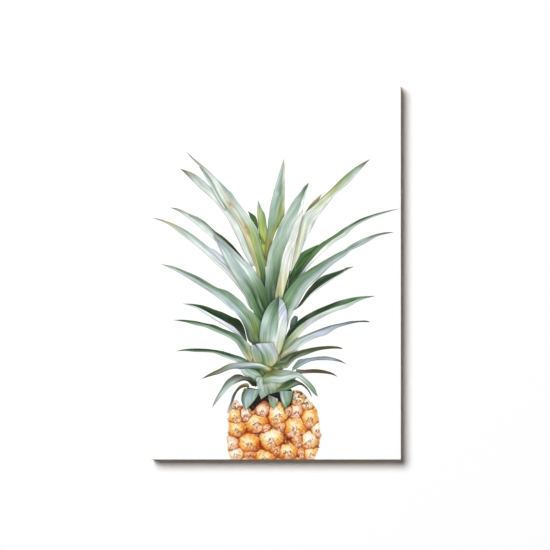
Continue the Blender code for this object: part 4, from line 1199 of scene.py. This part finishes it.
def wood_material(name, tones, ring_mm, along, ring_depth, fleck):
    """Planed wood. Its growth rings run along one axis, pale on one side of a ring and dark on the other.
    They wander, part round a few small knots, and have fine pores between them."""
    material, tree = new_material(name)
    place = add_node(tree, "ShaderNodeTexCoord", output="Object")
    squash = [1.0, 1.0, 1.0]
    squash["XYZ".index(along)] = GRAIN_STRETCH
    drawn_out = add_node(tree, VECTOR, (place, squash), operation="MULTIPLY")
    through = add_node(tree, VECTOR, (place, (1, 0.1, 1)), operation="MULTIPLY")
    knot = add_node(tree, "ShaderNodeTexVoronoi", {"Vector": through, "Scale": 1 / (KNOT_GAP * MM)})
    round_knot = add_node(tree, "ShaderNodeMapRange", (knot, 0.0, 0.2, 1.0, 0.0),
                          interpolation_type="SMOOTHSTEP")
    knot_shift = add_node(tree, MATH, (round_knot, KNOT_BEND), operation="MULTIPLY")
    wander = add_node(tree, NOISE, {"Vector": drawn_out, "Scale": 30.0, "Detail": 2.0}, "Color")
    moved = add_node(tree, VECTOR, (wander, (0.03, 0.03, 0.03), drawn_out), operation="MULTIPLY_ADD")
    rings = add_node(tree, "ShaderNodeTexWave", {"Vector": moved, "Scale": math.pi / (10 * ring_mm * MM),
                                                 "Distortion": 0.8, "Detail": 2.0, "Detail Scale": 0.5,
                                                 "Phase Offset": knot_shift},
                     "Fac", wave_type="RINGS", rings_direction=along, wave_profile="SAW")
    pores = add_node(tree, NOISE, {"Vector": drawn_out, "Scale": 1 / (PORE * MM), "Detail": 2.0})
    pore_depth = add_node(tree, MATH, (pores, fleck, -0.5 * fleck), operation="MULTIPLY_ADD")
    grain = add_node(tree, MATH, (rings, ring_depth, pore_depth), operation="MULTIPLY_ADD")
    core = add_node(tree, "ShaderNodeMapRange", (knot, 0.03, 0.055, 1.0, 0.0))
    share = add_node(tree, MATH, (grain, core), operation="MAXIMUM")
    colour = add_node(tree, "ShaderNodeValToRGB", (share,), stops=tones)
    bump = add_node(tree, "ShaderNodeBump", {"Height": share, "Strength": 0.3, "Distance": 0.0002},
                    invert=True)
    rough = add_node(tree, MATH, (pores, 0.2, 0.5), operation="MULTIPLY_ADD")
    shader = add_node(tree, SURFACE, {"Base Color": colour, "Roughness": rough, "Normal": bump,
                                      "Specular IOR Level": 0.3})
    add_node(tree, OUTPUT, (shader,))
    return material


def metal_material(name, tones, rough, grain_mm, scratch):
    """Plated metal: a bright, slightly uneven plating with fine rolling marks."""
    material, tree = new_material(name)
    place = add_node(tree, "ShaderNodeTexCoord", output="Object")
    cloud = add_node(tree, NOISE, {"Vector": place, "Scale": 1 / (grain_mm * MM), "Detail": 3.0})
    drawn_out = add_node(tree, VECTOR, (place, (0.05, 1, 1)), operation="MULTIPLY")
    marks = add_node(tree, NOISE, {"Vector": drawn_out, "Scale": 6 / (grain_mm * MM), "Detail": 1.0})
    colour = add_node(tree, "ShaderNodeValToRGB", (cloud,), stops=tones)
    bump = add_node(tree, "ShaderNodeBump", {"Height": marks, "Strength": scratch, "Distance": 0.00005})
    uneven = add_node(tree, MATH, (cloud, 0.25, rough - 0.12), operation="MULTIPLY_ADD")
    shader = add_node(tree, SURFACE, {"Base Color": colour, "Metallic": 1.0, "Roughness": uneven,
                                      "Normal": bump})
    add_node(tree, OUTPUT, (shader,))
    return material


def rubber_material():
    """Moulded grey rubber: dull, with a fine stippled skin."""
    material, tree = new_material("moulded grey rubber")
    place = add_node(tree, "ShaderNodeTexCoord", output="Object")
    stipple = add_node(tree, NOISE, {"Vector": place, "Scale": 1 / (RUBBER_STIPPLE * MM), "Detail": 2.0})
    colour = add_node(tree, "ShaderNodeValToRGB", (stipple,), stops=((0.2, "#4C4D4F"), (0.8, "#6A6B6D")))
    bump = add_node(tree, "ShaderNodeBump", {"Height": stipple, "Strength": 0.4, "Distance": 0.0001})
    rough = add_node(tree, MATH, (stipple, 0.2, 0.6), operation="MULTIPLY_ADD")
    shader = add_node(tree, SURFACE, {"Base Color": colour, "Roughness": rough, "Normal": bump,
                                      "Specular IOR Level": 0.35})
    add_node(tree, OUTPUT, (shader,))
    return material


def finish_frame():
    """Gives each of the frame's own pieces its finish."""
    pine_across = wood_material("planed pine, grain across", PINE_TONES, PINE_RING, "X", 0.62, 0.5)
    pine_up = wood_material("planed pine, grain upright", PINE_TONES, PINE_RING, "Z", 0.62, 0.5)
    beech = wood_material("split beech", BEECH_TONES, BEECH_FLECK, "X", 0.4, 1.0)
    zinc = metal_material("zinc-plated staple steel", ZINC_TONES, 0.34, STAPLE_GRAIN, 0.2)
    brass = metal_material("brassed sheet steel", BRASS_TONES, 0.3, HANGER_GRAIN, 0.25)
    rubber = rubber_material()
    finishes = (("bar_top", pine_across), ("bar_bottom", pine_across), ("centre_brace", pine_across),
                ("bar_", pine_up), ("key_", beech), ("staple_", zinc), ("sawtooth_hanger", brass),
                ("hanger_nail", brass), ("wall_pad", rubber))
    for name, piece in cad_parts.items():
        finish = next((finish for start, finish in finishes if name.startswith(start)), None)
        if finish is None:
            continue
        if not piece.material_slots:
            piece.data.materials.append(finish)
        for holder in piece.material_slots:
            holder.material = finish


# ---------------------------------------------------------------- threads

THREAD_GAP, THREAD_LENGTH, THREAD_THICK = 3.4, 5.0, 0.4  # in millimetres
THREAD_CORNER = 26.0  # no thread this near a folded corner
THREAD_SEED = 11


def thread_tree(material):
    """Loose warp ends along the cloth's cut edge: short bent threads, no two alike, lying on the wood."""
    tree = bpy.data.node_groups.new("frayed threads", "GeometryNodeTree")
    for name, kind in (("Cut edge", "Geometry"), ("Gap", "Float"), ("Length", "Float"),
                       ("Thickness", "Float"), ("Seed", "Int")):
        tree.interface.new_socket(name, in_out="INPUT", socket_type="NodeSocket" + kind)
    tree.interface.new_socket("Threads", in_out="OUTPUT", socket_type="NodeSocketGeometry")
    given = tree.nodes.new("NodeGroupInput").outputs
    edge = add_node(tree, "GeometryNodeMeshToCurve", (given["Cut edge"],))
    spaced = add_node(tree, "GeometryNodeResampleCurve", {"Curve": edge, "Length": given["Gap"]},
                      mode="LENGTH")
    tangent = add_node(tree, "GeometryNodeInputTangent")
    inward = add_node(tree, VECTOR, (tangent, (0, 1, 0)), operation="CROSS_PRODUCT")
    facing_in = add_node(tree, "FunctionNodeAlignRotationToVector", {"Vector": inward}, axis="X")
    turn = add_node(tree, "FunctionNodeRandomValue", {0: (0, -0.9, 0), 1: (0, 0.9, 0), "Seed": given["Seed"]},
                    data_type="FLOAT_VECTOR")
    turned_in = add_node(tree, "FunctionNodeRotateRotation", (facing_in, turn), rotation_space="LOCAL")
    size = add_node(tree, "FunctionNodeRandomValue",
                    {0: (0.4, 0.8, 0.2), 1: (1.3, 1.2, 1.6), "Seed": given["Seed"]},
                    data_type="FLOAT_VECTOR")
    halfway = add_node(tree, MATH, (given["Length"], 0.5), operation="MULTIPLY")
    bent = add_node(tree, MATH, (given["Length"], 0.4), operation="MULTIPLY")
    middle_point = add_node(tree, "ShaderNodeCombineXYZ", (halfway, 0.0, bent))
    end_point = add_node(tree, "ShaderNodeCombineXYZ", (given["Length"], 0.0, 0.0))
    path = add_node(tree, "GeometryNodeCurveQuadraticBezier", (5, (0, 0, 0), middle_point, end_point))
    half_thick = add_node(tree, MATH, (given["Thickness"], 0.5), operation="MULTIPLY")
    ring = add_node(tree, "GeometryNodeCurvePrimitiveCircle", {"Resolution": 4, "Radius": half_thick})
    thread = add_node(tree, "GeometryNodeCurveToMesh",
                      {"Curve": path, "Profile Curve": ring, "Fill Caps": True})
    points = add_node(tree, "GeometryNodeInstanceOnPoints", {"Points": spaced, "Instance": thread,
                                                             "Rotation": turned_in, "Scale": size})
    loose = add_node(tree, "GeometryNodeRealizeInstances", (points,))
    finished = add_node(tree, "GeometryNodeSetMaterial", {"Geometry": loose, "Material": material})
    add_node(tree, "NodeGroupOutput", (finished,))
    return tree


def make_threads(material):
    """Threads round the cut edge, a separate line for each side of the frame."""
    side_x, side_z = HALF_W - FLAP, HALF_T - FLAP
    end_x, end_z = HALF_W - THREAD_CORNER - FLAP, HALF_T - THREAD_CORNER - FLAP
    lines = (((-end_x, side_z), (end_x, side_z)), ((side_x, end_z), (side_x, -end_z)),
             ((end_x, -side_z), (-end_x, -side_z)), ((-side_x, -end_z), (-side_x, end_z)))
    flat_y = box_high[1] - 0.6 * CLOTH * MM
    corners = [(middle[0] + x * MM, flat_y, middle[2] + z * MM) for line in lines for x, z in line]
    mesh = bpy.data.meshes.new("cut edge")
    mesh.from_pydata(corners, [(number, number + 1) for number in range(0, len(corners), 2)], [])
    edge = new_object("cut edge", mesh)
    fray = edge.modifiers.new("fray", "NODES")
    fray.node_group = thread_tree(material)
    values = {"Gap": THREAD_GAP * MM, "Length": THREAD_LENGTH * MM, "Thickness": THREAD_THICK * MM,
              "Seed": THREAD_SEED}
    for socket in fray.node_group.interface.items_tree:
        if socket.name in values:
            fray[socket.identifier] = values[socket.name]
    graph = bpy.context.evaluated_depsgraph_get()
    plain = bpy.data.meshes.new_from_object(edge.evaluated_get(graph))
    bpy.data.objects.remove(edge)
    plain.name = "frayed_threads"
    return new_object("frayed_threads", plain)


# ---------------------------------------------------------------- room, light and camera

def flat_panel(name, corners, material):
    """One flat face through the corners."""
    mesh = bpy.data.meshes.new(name)
    mesh.from_pydata(corners, [], [tuple(range(len(corners)))])
    return new_object(name, mesh, material)


def wall_material():
    """Smooth white emulsion paint. It is clear from behind, and it throws no shadow, so that the frame's back
    can be seen and lit."""
    material, tree = new_material("white emulsion wall")
    place = add_node(tree, "ShaderNodeTexCoord", output="Object")
    stipple = add_node(tree, NOISE, {"Vector": place, "Scale": 1 / (PAINT_STIPPLE * MM), "Detail": 2.0})
    bump = add_node(tree, "ShaderNodeBump", {"Height": stipple, "Strength": 0.1, "Distance": 0.0002})
    paint = add_node(tree, "ShaderNodeBsdfDiffuse", {"Color": rgba("#FBFBFB"), "Normal": bump})
    clear = add_node(tree, "ShaderNodeBsdfTransparent")
    back = add_node(tree, "ShaderNodeNewGeometry", output="Backfacing")
    shadow = add_node(tree, "ShaderNodeLightPath", output="Is Shadow Ray")
    unseen = add_node(tree, MATH, (back, shadow), operation="MAXIMUM")
    both = add_node(tree, "ShaderNodeMixShader", (unseen, paint, clear))
    add_node(tree, OUTPUT, (both,))
    return material


# How far each light stands to the right and up for each metre in front of the wall, how wide it is for each
# metre, and how bright it makes white paint. The key light is wide, so the shadow it throws has a soft edge.
LIGHTS = (("key light", 40.0, (-0.56, 0.66), 0.84, 0.93),
          ("counter light", 40.0, (0.17, -0.02), 0.34, 0.08))
BEHIND = ("light behind", -1.4, (0.0, 0.0), 0.28, 0.70)
FILL, BACKDROP = 0.02, 0.9  # the room's own glow on the object, and as it is seen past the wall's edge
# In metres:
WALL_GAP = 0.0004  # between the pads' backs and the paint
FLOOR_DROP = 0.9  # from the print's lower edge to the floor
ROOM_SIDE, ROOM_FRONT, ROOM_BACK, WALL_TOP = 3, -4, 3, 2.4
VIEW_DISTANCE = 4.0
VIEW_WIDTH = 0.880  # what the camera takes in, at the print's face
VIEW_SHIFT = (-0.0016, -0.0045)  # the camera's axis, from the canvas's middle
SENSOR = 36  # mm


def add_light(name, distance, slant, width, bright):
    """A round light parallel to the wall. A distance below 0 puts it behind the wall, shining back at it."""
    light = bpy.data.lights.new(name, "AREA")
    light.shape = "DISK"
    light.size = width * abs(distance)
    light.energy = bright * math.pi ** 2 * distance ** 2 * (1 + slant[0] ** 2 + slant[1] ** 2) ** 2
    lamp = bpy.data.objects.new(name, light)
    lamp.location = Vector(middle) + Vector((slant[0], -1, slant[1])) * distance
    lamp.rotation_euler = (math.copysign(math.pi / 2, distance), 0, 0)
    lamp.visible_camera = False
    bpy.context.scene.collection.objects.link(lamp)
    return light


def make_room():
    """The wall, the floor, the lights and the room's own glow."""
    floor_z = box_low[2] - FLOOR_DROP
    wall = flat_panel("wall", [(-ROOM_SIDE, WALL_GAP, floor_z), (ROOM_SIDE, WALL_GAP, floor_z),
                               (ROOM_SIDE, WALL_GAP, WALL_TOP), (-ROOM_SIDE, WALL_GAP, WALL_TOP)],
                      wall_material())
    floor_paint, tree = new_material("pale floor screed")
    place = add_node(tree, "ShaderNodeTexCoord", output="Object")
    grain = add_node(tree, NOISE, {"Vector": place, "Scale": 1 / (FLOOR_GRAIN * MM), "Detail": 3.0})
    colour = add_node(tree, "ShaderNodeValToRGB", (grain,), stops=((0.3, "#E9E8E6"), (0.7, "#F1F0EE")))
    shader = add_node(tree, "ShaderNodeBsdfDiffuse", (colour,))
    add_node(tree, OUTPUT, (shader,))
    floor = flat_panel("floor", [(-ROOM_SIDE, ROOM_FRONT, floor_z), (ROOM_SIDE, ROOM_FRONT, floor_z),
                                 (ROOM_SIDE, ROOM_BACK, floor_z), (-ROOM_SIDE, ROOM_BACK, floor_z)],
                       floor_paint)
    floor.visible_diffuse = False  # it throws no light back up and no shadow, as a floor far below would not
    floor.visible_shadow = False
    for light in LIGHTS:
        add_light(*light)
    add_light(*BEHIND).cycles.max_bounces = 0  # it lights the frame's back and nothing else
    world = bpy.data.worlds.new("soft room light")
    world.use_nodes = True
    tree = world.node_tree
    tree.nodes.clear()
    seen = add_node(tree, "ShaderNodeLightPath", output="Is Camera Ray")
    strength = add_node(tree, MATH, (seen, BACKDROP - FILL, FILL), operation="MULTIPLY_ADD")
    glow = add_node(tree, "ShaderNodeBackground", ((1, 1, 1, 1), strength))
    add_node(tree, "ShaderNodeOutputWorld", (glow,))
    bpy.context.scene.world = world
    bpy.context.scene.view_settings.view_transform = "Standard"


def make_camera():
    """A level camera, straight in front."""
    lens = bpy.data.cameras.new("camera")
    lens.sensor_width = SENSOR
    lens.lens = SENSOR * (VIEW_DISTANCE + box_low[1]) / VIEW_WIDTH
    camera = bpy.data.objects.new("camera", lens)
    camera.location = (middle[0] + VIEW_SHIFT[0], -VIEW_DISTANCE, middle[2] + VIEW_SHIFT[1])
    camera.rotation_euler = (math.pi / 2, 0, 0)
    bpy.context.scene.collection.objects.link(camera)
    bpy.context.scene.camera = camera


# ---------------------------------------------------------------- put together

make_camera()
make_room()
finish_frame()
raw_cotton = raw_canvas_material()
canvas = make_canvas(printed_canvas_material(), raw_cotton)
canvas.visible_diffuse = False  # its white sides throw no light back into the shadow on the wall
threads = make_threads(raw_cotton)
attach(canvas, "root")
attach(threads, "root")
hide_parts("canvas_print")
